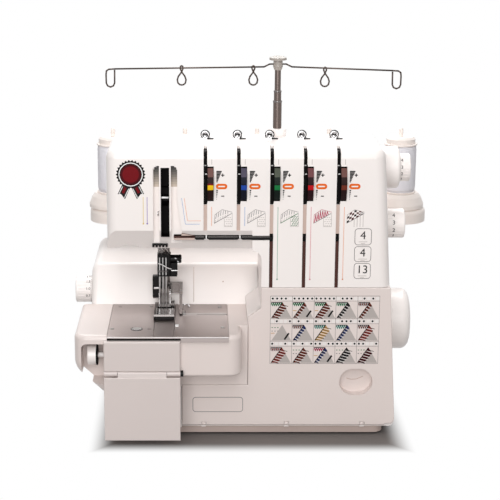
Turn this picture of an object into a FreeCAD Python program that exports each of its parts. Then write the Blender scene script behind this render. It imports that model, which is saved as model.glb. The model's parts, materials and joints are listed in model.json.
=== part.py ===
import FreeCAD, Part
import math
import os

# Five-thread overlock sewing machine with a spool stand and a telescopic thread mast.
# Millimetres, +Z up, the operator sits on the -Y side, the handwheel is on the +X side.
# The origin is on the floor, under the middle of the whole outline.

# Fits
run_gap = 0.05
seat_gap = 0.05
pass_gap = 0.4

# Casing outline
wall = 3.0
body_floor = 11.0
seam_z = 169.0
top_z = 318.0
arm_bottom = 209.0
front_y = -97.0
arm_back = 3.0
body_back = 133.0
arm_left = -162.0
column_left = 1.0
right_low = 147.6
side_draft = 0.06
low_left = -160.0
edge_round = 11.0
low_round = 6.0
throat_round = 10.0
split_y = -66.0
bevel_height = 22.0
bevel_depth = 13.0
arch_radius = 20.0
arch_rise = 4.0
arch_x = -138.0

# Base and feet
foot_height = 3.0
foot_radius = 11.0
foot_inset = 26.0
plinth_inset = 6.0
flange_width = 14.0
flange_height = 3.0

# Bed, plates and chip guard
plate_z = 127.0
plate_thickness = 2.0
plate_left = -161.0
plate_right = -34.0
plate_front = -137.0
bed_left = -196.0
bed_right = -13.0
bed_bottom = 60.0
bed_front = -134.0
bed_back = -18.0
bed_top_wall = 4.0
bed_round = 14.0
bed_edge = 5.0
bulge_round = 20.0
bulge_z = 90.0
bulge_foot_x = -164.0
pillow_bottom = 82.0
pillow_right = -20.0
plate_gap = 0.5
needle_plate_left = -112.5
needle_plate_width = 21.0
plate_slot_length = 4.0
plate_slot_width = 2.0
left_slot_spots = ((6.0, 107.0), (41.5, 26.0))
left_screw_spots = ((4.0, 27.0, 1.8), (30.0, 27.0, 4.6), (42.5, 109.0, 1.8))
right_screw_spots = ((6.0, 32.0, 2.2), (8.0, 107.0, 2.2))
screw_rise = 0.7
guard_left = -164.5
guard_right = -84.5
guard_drop = 2.2
plate_lip = 6.0
flap_axis_z = 87.0
flap_bottom = 13.5
flap_thickness = 2.5
flap_barrel = 3.2
flap_pin = 1.5
flap_knuckle_end = 14.0

# Niche and its knob
niche_left = -188.5
niche_right = -163.0
niche_back = -103.0
niche_bottom = 73.0
niche_top = 118.0
width_knob_radius = 10.5
width_knob_y = -117.0
width_knob_z = 101.0
width_knob_left = -183.0
width_knob_length = 9.5
width_stem = 3.0

# Rear housing behind the plate
rear_left = -186.0
rear_lip_y = 3.0
lip_round = 7.0
undercut_z = 56.0

# Looper door
door_thickness = 4.0
door_left = -83.5
door_gap = 0.5
door_axis_z = 15.0
door_barrel = 2.0
door_pin = 1.0
shoulder_z = 146.0
shoulder_drop = 10.0
lug_width = 5.0
lug_places = (-60.0, 30.0, 112.0)
recess_x = 104.0
recess_z = 63.0
recess_radius = 15.0
recess_stretch = 6.0
recess_depth = 11.5
recess_wall = 2.0

# Thread slots and tension dials
slot_count = 5
first_slot = -58.4
slot_pitch = 34.65
slot_width = 3.8
slot_bottom = 258.6
slot_over_top = 19.0
groove_depth = 1.6
short_grooves = 2
dial_radius = 24.0
dial_width = 6.0
dial_proud = 7.0
dial_drop = 37.0
dial_flutes = 40
flute_radius = 0.9
tension_rod = 3.0
tension_lug = 4.0
rail_z = 223.0
rail_height = 5.0
rail_left = -92.0
rail_right = 13.0
rail_depth = 7.0

# Take-up channel and lever
channel_left = -113.0
channel_right = -87.5
channel_top = 300.0
channel_depth = 9.0
channel_round = 5.0
channel_flare_top = 262.0
channel_flare_bottom = 230.0
channel_flare_right = -82.9
take_slot_border = 1.6
take_slot_left = -105.0
take_slot_right = -96.0
take_slot_bottom = 224.0
take_slot_top = 298.0
take_axis_y = -62.0
take_axis_z = 265.0
take_stub = 3.0
take_hub = 6.0
take_arm_width = 4.0
take_reach = 33.5
take_bar = 1.5

# Shafts
main_y = 4.0
main_z = 104.0
main_radius = 6.0
main_left = -138.0
arm_shaft_y = -45.0
arm_shaft_drop = 37.0
arm_shaft_radius = 5.0
bush_radius = 9.0
post_width = 14.0
main_posts = (-137.0, -74.0, 62.0)
arm_posts = (-62.0, 62.0)
timing_left = 26.0
timing_width = 12.0
timing_radius = 9.0
flange_rise = 3.0
pulley_flange = 1.5
belt_gap = 0.3
belt_thickness = 2.0
cam_rise = 2.0
cam_throw = 1.5
cam_width = 9.0
crank_margin = 2.0
crank_width = 6.0
crank_pin = 3.5
crank_pin_length = 1.2

# Motor and handwheel
motor_y = 88.0
motor_z = 52.0
motor_radius = 34.0
motor_left = 0.0
motor_length = 74.0
motor_shaft = 4.0
motor_pulley_radius = 10.0
motor_boss = 10.0
motor_boss_length = 6.0
saddle_width = 6.0
saddle_inset = 10.0
drive_left = 100.0
drive_radius = 30.0
hub_radius = 9.0
hub_gap = 1.5
wheel_radius = 34.5
wheel_left = 145.1
wheel_right = 172.0
wheel_round = 9.0
wheel_groove_inset = 5.0
wheel_groove_width = 1.2
wheel_groove_depth = 0.6

# Needle bar, presser bar and knives
needle_x = -106.0
needle_y = -45.0
needle_up = 19.0
needle_down = 10.0
needle_shift = 1.5
needle_room = 3.0
bar_radius = 4.0
bar_bottom = 180.0
bar_top = 294.0
collar_bottom = 244.0
collar_height = 12.0
clamp_bottom = 168.0
clamp_top = 193.0
clamp_left = -110.5
clamp_right = -96.0
clamp_half_depth = 6.5
clamp_screw = 4.5
clamp_screw_length = 9.0
needle_spacing = 3.5
needle_count = 3
needle_shank = 1.0
needle_shank_length = 20.0
needle_blade = 0.6
needle_tip_z = 128.0
rod_left = -97.6
rod_right = -93.8
rod_eye = 6.0
presser_x = -103.0
presser_y = -31.0
presser_radius = 3.5
presser_bottom = 142.0
presser_top = 290.0
presser_collar_bottom = 238.5
foot_sole = 127.3
foot_thickness = 3.7
foot_left = -114.0
foot_right = -92.0
foot_front = -74.0
foot_rear = -24.0
foot_toe = 4.0
toe_rise = 2.0
toe_lip = 1.0
ankle_half = 5.0
ankle_rise = 8.0
release_out = 2.0
release_in = 4.0
release_back = 3.0
release_lift = 8.0
release_drop = 4.0
side_width = 5.0
side_rise = 4.0
presser_collar_rim = 1.5
collar_rim = 2.0
clamp_round = 1.5
clamp_screw_inset = 1.0
clamp_arm_front = 5.0
clamp_arm_back = 1.0
clamp_arm_short = 2.0
needle_point = 4.0
needle_taper = 2.0
lever_x = -110.0
lever_z = 235.0
lever_rod = 3.0
lever_length = 46.0
lever_thickness = 6.0
lobe_length = 8.0
lobe_width = 4.0
knife_rod_x = -100.0
knife_rod_y = -17.6
knife_rod = 2.5
knife_rod_room = 12.0
knife_arm_over = 1.0
knife_top = 246.0
knife_face = -83.4
knife_thickness = 3.0
knife_front = -60.0
knife_rear = -46.0
knife_edge_z = 128.3
knife_height = 23.0

# Head of the frame
head_left = -122.0
head_wall = 8.0
guide_bottom = 213.0
guide_height = 15.0
upper_guide_bottom = 277.0
upper_guide_height = 6.0
guide_front = -58.0
guide_right = -76.0
beam_front = -22.0
beam_back = -6.0
beam_bottom = 244.0
beam_top = 300.0
needle_opening_front = -70.0
needle_opening_back = -12.0
needle_opening_left = -124.0

# Loopers and feed
bracket_bottom = 64.0
bracket_top = 98.0
bracket_left = -150.0
bracket_right = -56.0
bracket_front = -30.0
bracket_back = -22.0
bracket_web_inset = 20.0
bracket_web_height = 10.0
looper_z = 76.0
upper_looper_x = -140.0
lower_looper_x = -64.0
looper_shaft = 4.0
looper_hub_rim = 3.0
looper_blade = 6.0
looper_root = 5.0
looper_rise = 25.0
looper_point = 1.0
looper_point_drop = 1.5
looper_bend_rise = 20.0
looper_heel_rise = 13.0
upper_looper_reach = 34.0
upper_looper_front = 9.0
lower_looper_reach = 40.0
lower_looper_front = 1.0
feed_bottom = 112.0
feed_height = 6.0
feed_rib = 3.0
feed_travel = 2.5
feed_half = 10.0
feed_guide_half = 20.0
feed_front_span = (-27.0, -9.0)
feed_rear_span = (9.0, 21.0)

# Dials on the sides
selector_y = -37.0
selector_drop = 31.0
selector_base = 22.5
selector_base_end = 150.0
selector_dial_radius = 15.0
selector_end = 162.0
length_spacing = 23.5
length_radius = 16.0
length_end = 158.0
side_stem = 4.0
stem_depth = 12.0
side_grooves = 24
side_groove = 0.5
diff_y = 13.0
diff_z = 136.0
diff_radius = 15.0
diff_end = -205.0

# Spool stand
tray_left = -195.0
tray_right = 205.0
tray_half_depth = 30.0
tray_bottom = 194.5
tray_top = 211.0
tray_round = 6.0
post_half_width = 15.0
post_places = (-100.0, 105.0)
pin_count = 5
first_pin = -166.8
pin_pitch = 85.1
pin_radius = 2.5
cone_radius = 29.0
cone_shoulder = 22.0
cone_top = 228.0
spool_radius = 19.5
spool_top = 287.0
spool_bore = 4.0
cap_radius = 17.0
cap_height = 8.0
cap_edge = 2.5
spool_rim = 2.0
spool_waist = 0.8
pin_rise_over_cap = 10.0

# Thread mast
mast_x = 20.0
mast_y = -14.0
tube_wall = 0.6
lower_tube = 4.65
mast_foot = 252.0
lower_tube_top = 356.0
middle_tube_top = 367.0
upper_tube_top = 389.0
middle_tube_length = 95.0
upper_tube_length = 100.0
mast_collar = 10.0
mast_collar_height = 8.0
head_top = 404.0
head_disc = 9.3
head_disc_height = 4.0
head_cone_height = 1.5
head_tip = 5.0
head_foot_rim = 0.5
head_belly_rim = 2.0
head_belly_rise = 4.0
head_neck_rim = 1.5
wire_radius = 1.0
wire_z = 394.0
wire_end_drop = 3.0
eyelet_middle_x = -6.5
eyelet_pitch = 77.3
wire_straight = 16.0
eyelet_radius = 4.0
eyelet_drop = 13.0
end_loop_drop = 15.0
end_loop_radius = 4.0
guide_y = -35.0
guide_arch = 4.0
guide_wire_size = 0.9
guide_plate_rim = 2.0
guide_plate_half = 3.0
guide_plate_thickness = 1.0

# Power inlet and switch on the rear wall
inlet_x = 110.0
inlet_z = 47.0
inlet_half_width = 13.0
inlet_half_height = 10.0
inlet_depth = 20.0
inlet_rim = 3.0
inlet_lip = 2.0
inlet_pin = 1.0
inlet_pin_set_back = 4.0
inlet_pin_places = ((-6.0, -1.0), (0.0, 3.0), (6.0, -1.0))
switch_x = 72.0
switch_half_width = 11.0
switch_half_height = 8.5
switch_axis_y = 129.0
switch_proud = 3.0
switch_pin = 2.0

# Values that follow from the ones above
arm_shaft_z = top_z - arm_shaft_drop
dial_z = top_z - dial_drop
selector_z = top_z - selector_drop
length_z = selector_z - selector_base - length_spacing - length_radius
tube_step = tube_wall + run_gap
middle_tube = lower_tube - tube_step
upper_tube = middle_tube - tube_step
dial_y = front_y - dial_proud + dial_radius
door_axis_y = front_y + door_barrel
door_back = front_y + door_thickness
bevel_top = arm_bottom + bevel_height
flap_axis_y = bed_front - flap_barrel - pass_gap
flap_face = flap_axis_y - flap_barrel - flap_thickness / 2
tray_y = -flap_face - tray_half_depth
cap_top = spool_top + cap_height
pin_top = cap_top + pin_rise_over_cap
needle_plate_right = needle_plate_left + needle_plate_width
needle_middle = needle_x + needle_shift
needle_half = needle_spacing * needle_count / 2 + 1
knife_back = knife_face + pass_gap
crank_left = rod_right + pass_gap + crank_pin_length
crank_throw = (needle_up + needle_down) / 2
crank_radius = crank_throw + crank_pin + crank_margin
pin_rise = crank_throw - needle_up
pin_lean = math.sqrt(crank_throw ** 2 - pin_rise ** 2)


def box(x0, x1, y0, y1, z0, z1):
    """Block between two corners."""
    return Part.makeBox(x1 - x0, y1 - y0, z1 - z0, FreeCAD.Vector(x0, y0, z0))


def rod_x(x0, x1, y, z, radius):
    """Round bar along X."""
    return Part.makeCylinder(radius, x1 - x0, FreeCAD.Vector(x0, y, z), FreeCAD.Vector(1, 0, 0))


def rod_y(y0, y1, x, z, radius):
    """Round bar along Y."""
    return Part.makeCylinder(radius, y1 - y0, FreeCAD.Vector(x, y0, z), FreeCAD.Vector(0, 1, 0))


def rod_z(z0, z1, x, y, radius):
    """Round bar along Z."""
    return Part.makeCylinder(radius, z1 - z0, FreeCAD.Vector(x, y, z0))


def prism(points, direction):
    """Flat outline pushed along a direction."""
    wire = Part.makePolygon(points + points[:1])
    return Part.Face(wire).extrude(direction)


def prism_xz(points, y0, y1):
    """Outline in X and Z, between two depths."""
    corners = [FreeCAD.Vector(x, y0, z) for x, z in points]
    return prism(corners, FreeCAD.Vector(0, y1 - y0, 0))


def prism_yz(points, x0, x1):
    """Outline in Y and Z, between two places along X."""
    corners = [FreeCAD.Vector(x0, y, z) for y, z in points]
    return prism(corners, FreeCAD.Vector(x1 - x0, 0, 0))


def turned(points, axis_x, axis_y):
    """Outline of radius and height, turned about an upright axis."""
    corners = [FreeCAD.Vector(axis_x + r, axis_y, z) for r, z in points]
    face = Part.Face(Part.makePolygon(corners + corners[:1]))
    return face.revolve(FreeCAD.Vector(axis_x, axis_y, 0), FreeCAD.Vector(0, 0, 1), 360)


def joined(shapes):
    """All the shapes as one solid."""
    whole = shapes[0].multiFuse(shapes[1:]) if len(shapes) > 1 else shapes[0]
    return whole.removeSplitter()


def without(shape, cutters):
    """The shape with every cutter taken away."""
    return shape.cut(Part.makeCompound(cutters)) if len(cutters) > 1 else shape.cut(cutters[0])


def rounded(shape, radius, test):
    """The shape with the edges whose middle passes the test filleted."""
    edges = [edge for edge in shape.Edges if test(edge.CenterOfMass)]
    return shape.makeFillet(radius, edges)


def near(first, second):
    """True where two lengths are the same."""
    return abs(first - second) < 0.02


def right_x(z):
    """Outer face of the drafted right side at a height."""
    return right_low - side_draft * (z - body_floor)


def slot_x(index):
    """Middle of one thread slot."""
    return first_slot + index * slot_pitch


def dial_left(index):
    """Left face of one tension dial, beside its slot."""
    return slot_x(index) + slot_width / 2 + pass_gap


def stadium_prism(x0, x1, y, half_depth, z0, z1):
    """Upright block with half-round ends."""
    middle = box(x0 + half_depth, x1 - half_depth, y - half_depth, y + half_depth, z0, z1)
    left = rod_z(z0, z1, x0 + half_depth, y, half_depth)
    right = rod_z(z0, z1, x1 - half_depth, y, half_depth)
    return joined([middle, left, right])


def upper_outline(inset, bottom):
    """Arm and column seen from the front."""
    return [
        (arm_left + inset, arm_bottom + inset),
        (column_left + inset, arm_bottom + inset),
        (column_left + inset, bottom),
        (right_x(bottom) - inset, bottom),
        (right_x(top_z - inset) - inset, top_z - inset),
        (arm_left + inset, top_z - inset),
    ]


def upper_form(inset):
    """Arm and column as one rounded form, drawn in by the inset."""
    bottom = seam_z - inset
    y0 = front_y + inset
    y1 = arm_back - inset
    form = prism_xz(upper_outline(inset, bottom), y0, y1)
    left = arm_left + inset
    top = top_z - inset
    middle_y = (y0 + y1) / 2

    def outer_edge(point):
        on_top = near(point.z, top)
        on_corner = (near(point.y, y0) or near(point.y, y1)) and (
            near(point.x, left) or point.x > right_x(bottom) - inset - side_draft * top_z)
        upright = on_corner and not near(point.y, middle_y) and bottom + 1 < point.z
        return on_top or (upright and not near(point.z, arm_bottom + inset))

    form = rounded(form, edge_round - inset, outer_edge)
    throat = column_left + inset
    corner_z = arm_bottom + inset
    form = rounded(form, throat_round, lambda p: near(p.x, throat) and near(p.z, corner_z))
    bevel = prism_yz([
        (front_y - wall, bevel_top),
        (front_y, bevel_top),
        (front_y + bevel_depth, arm_bottom),
        (front_y + bevel_depth, arm_bottom - wall),
        (front_y - wall, arm_bottom - wall),
    ], arm_left - wall, column_left - throat_round)
    bevel.translate(FreeCAD.Vector(inset, inset, 0))
    return form.cut(bevel)


def needle_opening():
    """Opening in the underside of the arm for the needle and presser bars."""
    return box(needle_opening_left, guide_right - pass_gap, needle_opening_front, needle_opening_back,
               arm_bottom - wall, arm_bottom + wall + pass_gap)


def upper_shell():
    """Hollow arm and column."""
    return upper_form(0.0).cut(upper_form(wall))


def thread_slots():
    """Cutters for the thread slots, dial windows and grooves of the front."""
    cutters = []
    for index in range(slot_count):
        x0 = slot_x(index) - slot_width / 2
        x1 = slot_x(index) + slot_width / 2
        cutters.append(box(x0, x1, front_y - wall, front_y + slot_over_top, slot_bottom, top_z + wall))
        half_window = math.sqrt(dial_radius ** 2 - (dial_radius - dial_proud - wall) ** 2) + 2 * pass_gap
        window_end = dial_left(index) + dial_width + pass_gap
        cutters.append(box(x1 - pass_gap, window_end, front_y - wall, front_y + wall + 1,
                           dial_z - half_window, dial_z + half_window))
        groove_end = bevel_top if index < short_grooves else seam_z - wall
        cutters.append(box(x0, x1, front_y - wall, front_y + groove_depth, groove_end, slot_bottom))
    return cutters


def front_cover():
    """Upper front cover with its thread slots, take-up channel and tension lugs."""
    form = upper_form(0.0)
    front = box(arm_left - wall, right_low + wall, front_y - wall, split_y, seam_z - wall, top_z + wall)
    shell = form.cut(upper_form(wall)).common(front)
    floor_y = front_y + channel_depth
    backing = box(channel_left - wall, channel_flare_right + wall, front_y, floor_y + wall,
                  arm_bottom, channel_top + wall).common(form)
    rail_backing = box(rail_left - wall, rail_right + wall, front_y, front_y + rail_depth + 2 * wall,
                       rail_z - rail_height / 2 - wall, rail_z + rail_height / 2 + wall).common(form)
    lug_half = 2 * tension_rod
    lug_ends = (slot_x(0) - slot_width / 2 - 2 * tension_lug,
                dial_left(slot_count - 1) + dial_width + tension_lug)
    lugs = [box(x, x + tension_lug, front_y + wall / 2, dial_y + lug_half,
                dial_z - lug_half, dial_z + lug_half) for x in lug_ends]
    shell = joined([shell, backing, rail_backing] + lugs)
    cutters = thread_slots()
    strip_left = take_slot_left - take_slot_border
    strip_right = take_slot_right + take_slot_border
    low = arm_bottom - wall
    left_recess = box(channel_left, strip_left, front_y - wall, floor_y, low, channel_top)
    right_recess = prism_xz([
        (strip_right, low), (channel_flare_right, low), (channel_flare_right, channel_flare_bottom),
        (channel_right, channel_flare_top), (channel_right, channel_top), (strip_right, channel_top),
    ], front_y - wall, floor_y)
    for recess, x in ((left_recess, channel_left), (right_recess, channel_right)):
        cutters.append(rounded(recess, channel_round, lambda p: near(p.x, x) and near(p.z, channel_top)))
    cutters.append(box(take_slot_left, take_slot_right, front_y - wall, floor_y + 2 * wall,
                       take_slot_bottom, take_slot_top))
    cutters.append(box(rail_left, rail_right, front_y - wall, front_y + rail_depth,
                       rail_z - rail_height / 2, rail_z + rail_height / 2))
    cutters.append(rod_x(lug_ends[0] - 1, lug_ends[1] + tension_lug + 1, dial_y, dial_z,
                         tension_rod + seat_gap))
    cutters.append(rod_y(front_y - wall, split_y + wall, arch_x, arm_bottom + arch_rise - arch_radius,
                         arch_radius))
    cutters.append(needle_opening())
    return without(shell, cutters)


def rear_cover():
    """Rear half of the arm and column, with the mast collar and the selector's base."""
    back = box(arm_left - wall, right_low + wall, split_y, arm_back + wall, seam_z - wall, top_z + wall)
    shell = upper_shell().common(back)
    collar = rod_z(top_z - wall, top_z + mast_collar_height, mast_x, mast_y, mast_collar)
    collar = rounded(collar, wall / 2, lambda p: near(p.z, top_z + mast_collar_height))
    base_start = right_x(selector_z + selector_base) - wall
    base = rod_x(base_start, selector_base_end, selector_y, selector_z, selector_base)
    base = rounded(base, wall, lambda p: near(p.x, selector_base_end))
    shell = joined([shell, collar, base])
    stem = side_stem + run_gap
    inside = right_x(seam_z) - 6 * wall
    return without(shell, [
        rod_z(top_z - 2 * wall, head_top, mast_x, mast_y, lower_tube + seat_gap),
        rod_x(inside, selector_base_end + wall, selector_y, selector_z, stem),
        rod_x(inside, length_end, selector_y, length_z, stem),
        rod_y(arm_back - 2 * wall, arm_back + wall, lever_x, lever_z, lever_rod + pass_gap),
        rod_y(split_y - wall, arm_back + wall, arch_x, arm_bottom + arch_rise - arch_radius, arch_radius),
        needle_opening(),
    ])


def rear_outline(inset, floor):
    """Lower body seen from the front, behind the bed."""
    return [
        (low_left + inset, floor),
        (right_x(floor) - inset, floor),
        (right_x(seam_z - inset) - inset, seam_z - inset),
        (rear_left + inset, seam_z - inset),
        (rear_left + inset, bulge_z),
        (low_left + inset, undercut_z),
    ]


def rear_wedge(shift):
    """Space in front of the sloping wall behind the cloth plate."""
    wedge = prism_yz([
        (bed_back - 2 * wall, plate_z),
        (bed_back, plate_z),
        (rear_lip_y, seam_z),
        (rear_lip_y, seam_z + wall),
        (bed_back - 2 * wall, seam_z + wall),
    ], rear_left - wall, column_left)
    wedge.translate(FreeCAD.Vector(0, shift, -shift / 2))
    return wedge


def column_outline(inset, floor):
    """Lower column seen from the front, with the shoulder beside the bed."""
    return [
        (bed_right + inset, floor),
        (right_x(floor) - inset, floor),
        (right_x(seam_z) - inset, seam_z + inset),
        (column_left + inset, seam_z + inset),
        (column_left + inset, shoulder_z - inset),
        (bed_right + inset, shoulder_z - shoulder_drop - inset),
    ]


def rear_form(inset, floor):
    """Rear part of the lower body with rounded rear edges, drawn in by the inset."""
    back = body_back - inset
    top = seam_z - inset
    left = rear_left + inset
    form = prism_xz(rear_outline(inset, floor), bed_back + inset, back)

    def back_edge(point):
        side = near(point.x, left) or point.x > right_x(top) - inset
        upright = near(point.y, back) and side
        return upright or (near(point.z, top) and (near(point.y, back) or near(point.x, left)))

    form = rounded(form, edge_round - inset, back_edge).cut(rear_wedge(inset))
    return rounded(form, lip_round - inset,
                   lambda p: near(p.z, top) and p.y < rear_lip_y + 2 * wall and p.x < column_left)


def lower_outer():
    """Outside of the lower body."""
    rear = rear_form(0.0, body_floor)
    column = prism_xz(column_outline(0.0, body_floor), door_back + pass_gap, bed_back + wall)
    left = box(low_left, bed_right + wall, door_back + pass_gap, bed_back + wall, body_floor, bed_bottom)
    panel = box(low_left, door_left - door_gap, front_y, bed_back, body_floor, bed_bottom)
    corner = right_x(body_floor)
    return rounded(joined([rear, column, left, panel]), low_round,
                   lambda p: near(p.x, corner) and near(p.z, body_floor))


def lower_inner():
    """Hollow of the lower body."""
    floor = body_floor + flange_height
    rear = rear_form(wall, floor)
    column = prism_xz(column_outline(wall, floor), front_y - wall, bed_back + 2 * wall)
    left = box(low_left + wall, bed_right + 2 * wall, front_y + wall, bed_back + 2 * wall,
               floor, bed_bottom - wall)
    top = box(column_left + wall, right_x(seam_z) - wall, front_y - wall, arm_back - wall,
              seam_z - 2 * wall, seam_z + wall)
    return [rear, column, left, top]


def lower_housing():
    """Lower body shell: rear housing, column foot and left panel, with the door's hinge lugs."""
    shell = without(lower_outer(), lower_inner())
    lugs = []
    for x in lug_places:
        web = box(x - lug_width / 2, x + lug_width / 2, door_axis_y, door_back + 2 * wall,
                  body_floor, door_axis_z + door_barrel)
        eye = rod_x(x - lug_width / 2, x + lug_width / 2, door_axis_y, door_axis_z, door_barrel)
        lugs += [web, eye]
    lug_x = switch_half_width + pass_gap
    switch_lugs = [
        box(x, x + wall, switch_axis_y - 2 * switch_pin, body_back - wall / 2,
            inlet_z - 2 * switch_pin, inlet_z + 2 * switch_pin)
        for x in (switch_x - lug_x - wall, switch_x + lug_x)]
    shell = joined([shell] + lugs + switch_lugs)
    right_floor = right_x(body_floor)
    switch_room = 2 * pass_gap + 1
    cutters = [
        box(low_left + flange_width, right_floor - flange_width, front_y + flange_width,
            body_back - flange_width, body_floor - 1, body_floor + flange_height + 1),
        box(plate_left + 2 * wall, bed_right - wall, bed_back - wall, bed_back + 2 * wall,
            bed_bottom + wall, plate_z - 2 * wall),
        rod_x(right_x(main_z) - 2 * wall, right_low, main_y, main_z, hub_radius + hub_gap),
        rod_x(rear_left - wall, rear_left + 2 * wall, diff_y, diff_z, side_stem + run_gap),
        rod_x(lug_places[0] - lug_width, lug_places[-1] + lug_width, door_axis_y, door_axis_z,
              door_pin + seat_gap),
        box(inlet_x - inlet_half_width - seat_gap, inlet_x + inlet_half_width + seat_gap,
            body_back - 2 * wall, body_back + wall,
            inlet_z - inlet_half_height - seat_gap, inlet_z + inlet_half_height + seat_gap),
        box(switch_x - switch_half_width - pass_gap, switch_x + switch_half_width + pass_gap,
            body_back - wall - 1, body_back + wall,
            inlet_z - switch_half_height - switch_room, inlet_z + switch_half_height + switch_room),
        rod_x(switch_x - lug_x - 2 * wall, switch_x + lug_x + 2 * wall, switch_axis_y, inlet_z,
              switch_pin + run_gap),
    ]
    return without(shell, cutters)


def looper_door():
    """L-shaped lower front cover with a barrel along its bottom edge and a finger recess."""
    low_top = bed_bottom - door_gap
    inner_x = bed_right + door_gap
    top = seam_z - door_gap
    outline = [
        (door_left, door_axis_z),
        (right_x(door_axis_z), door_axis_z),
        (right_x(top), top),
        (column_left, top),
        (column_left, shoulder_z),
        (inner_x, shoulder_z - shoulder_drop),
        (inner_x, low_top),
        (door_left, low_top),
    ]
    panel = prism_xz(outline, front_y, door_back)
    panel = rounded(panel, low_round, lambda p: p.x > right_x(top) and near(p.z, door_axis_z)
                    and near(p.y, (front_y + door_back) / 2))
    panel = rounded(panel, door_thickness / 4, lambda p: near(p.y, front_y) and p.z > door_axis_z + 1)
    barrel_end = right_x(door_axis_z) - edge_round
    barrel = rod_x(door_left, barrel_end, door_axis_y, door_axis_z, door_barrel)
    cup_z = recess_z - recess_radius
    half = recess_radius + recess_stretch / 2

    def recess_form(grow, y0, y1):
        form = stadium_prism(-half - grow, half + grow, 0.0, recess_radius + grow, 0.0, y1 - y0)
        form.rotate(FreeCAD.Vector(0, 0, 0), FreeCAD.Vector(1, 0, 0), -90)
        form.translate(FreeCAD.Vector(recess_x, y0, cup_z + recess_radius))
        return form

    cup = recess_form(recess_wall, front_y + recess_wall, front_y + recess_depth + recess_wall)
    door = joined([panel, barrel, cup])
    room = lug_width / 2 + pass_gap
    notch_top = door_axis_z + door_barrel + pass_gap
    cutters = [box(x - room, x + room, front_y - 1, door_back + 1, door_axis_z - 2 * door_barrel, notch_top)
               for x in lug_places]
    cutters.append(recess_form(0.0, front_y - 1, front_y + recess_depth))
    cutters.append(rod_x(door_left - 1, barrel_end + 1, door_axis_y, door_axis_z, door_pin + run_gap))
    return without(door, cutters)


def door_hinge_rod():
    """Rod through the lugs of the housing and the barrel of the looper door."""
    return rod_x(lug_places[0] - 2 * lug_width, lug_places[-1] + 2 * lug_width, door_axis_y, door_axis_z,
                 door_pin)


def base_tray():
    """Inset plinth under the body, with two saddles for the motor."""
    x0 = low_left + plinth_inset
    x1 = right_x(body_floor) - 2 * plinth_inset
    y0 = front_y + plinth_inset
    y1 = body_back - plinth_inset
    slab = box(x0, x1, y0, y1, foot_height, body_floor)
    slab = rounded(slab, edge_round, lambda p: near(p.z, (foot_height + body_floor) / 2))
    saddles = []
    for x in (motor_left + saddle_inset, motor_left + motor_length - saddle_inset - saddle_width):
        saddles.append(box(x, x + saddle_width, motor_y - motor_radius + wall, motor_y + motor_radius - wall,
                           body_floor, motor_z))
    bore = rod_x(motor_left, motor_left + motor_length, motor_y, motor_z, motor_radius + seat_gap)
    return joined([slab, joined(saddles).cut(bore)])


def rubber_feet():
    """Four feet under the plinth."""
    feet = []
    for x in (low_left + foot_inset, right_low - foot_inset):
        for y in (front_y + foot_inset, body_back - foot_inset):
            foot = rod_z(0.0, foot_height, x, y, foot_radius)
            feet.append(rounded(foot, foot_height / 3, lambda p: near(p.z, 0.0)))
    return Part.makeCompound(feet)


def bed_outline(inset, top):
    """Bed seen from the front, over the body."""
    return [
        (bed_left + inset, top),
        (bed_left + inset, bulge_z),
        (bulge_foot_x + inset, bed_bottom + inset),
        (bed_right - inset, bed_bottom + inset),
        (bed_right - inset, top),
    ]


def pillow_outline(inset, top):
    """Front of the bed, which stands out over the looper door."""
    return [
        (bed_left + inset, top),
        (bed_left + inset, bulge_z),
        (bulge_foot_x + inset, bed_bottom + inset),
        (niche_right + 2 * wall - inset, bed_bottom + inset),
        (niche_right + 2 * wall - inset, pillow_bottom + inset),
        (pillow_right - inset, pillow_bottom + inset),
        (pillow_right - inset, top),
    ]


def bed_casing():
    """Bed shell with the seat of the cloth plates and the niche of the width knob."""
    def bulge(point):
        return near(point.x, bed_left) and near(point.z, bulge_z)

    back = rounded(prism_xz(bed_outline(0.0, plate_z), front_y, bed_back), bulge_round, bulge)
    pillow = rounded(prism_xz(pillow_outline(0.0, plate_z), bed_front, front_y + 1), bulge_round, bulge)

    def front_corner(point):
        left = point.x < niche_right and point.z < plate_z - 1 and not near(point.z, bed_bottom)
        return near(point.y, bed_front) and (left or near(point.x, pillow_right))

    pillow = rounded(pillow, bed_round, front_corner)
    pillow = rounded(pillow, wall, lambda p: near(p.z, pillow_bottom) and p.y < front_y - wall
                     and p.x > guard_right - bed_round)

    def top_edge(point):
        outside = near(point.x, bed_left) or point.y < front_y - wall
        return near(point.z, plate_z) and point.y < bed_back - 1 and point.x < bed_right - 1 and outside

    outer = rounded(joined([back, pillow]), bed_edge, top_edge)
    top = plate_z - bed_top_wall
    front_room = prism_xz(pillow_outline(wall, top), bed_front + wall, front_y + 2 * wall)
    front_room = rounded(front_room, bed_round - wall,
                         lambda p: near(p.y, bed_front + wall) and near(p.x, pillow_right - wall))
    hollow = joined([
        prism_xz(bed_outline(wall, top), front_y + wall, bed_back + 1),
        front_room,
    ])
    niche_shell = box(bed_left, niche_right + wall, bed_front, niche_back + wall, bed_bottom, top)
    hollow = hollow.cut(niche_shell)
    niche = box(niche_left, niche_right, bed_front - 1, niche_back, niche_bottom, niche_top)
    niche_middle = (bed_front - 1 + niche_back) / 2
    niche = rounded(niche, 2 * wall, lambda p: near(p.x, niche_left) and near(p.y, niche_middle))
    seat = box(plate_left - plate_gap, plate_right + plate_gap, bed_front - wall, bed_back + 1,
               plate_z - plate_thickness, plate_z + 1)
    shaft_room = box(plate_left + 5 * wall, plate_right - 5 * wall, bed_front + 8 * wall, bed_back - wall,
                     top - 1, plate_z)
    stem = rod_x(niche_right - 1, niche_right + 2 * wall, width_knob_y, width_knob_z, width_stem + run_gap)
    return without(outer, [hollow, niche, seat, shaft_room, stem])


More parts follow.
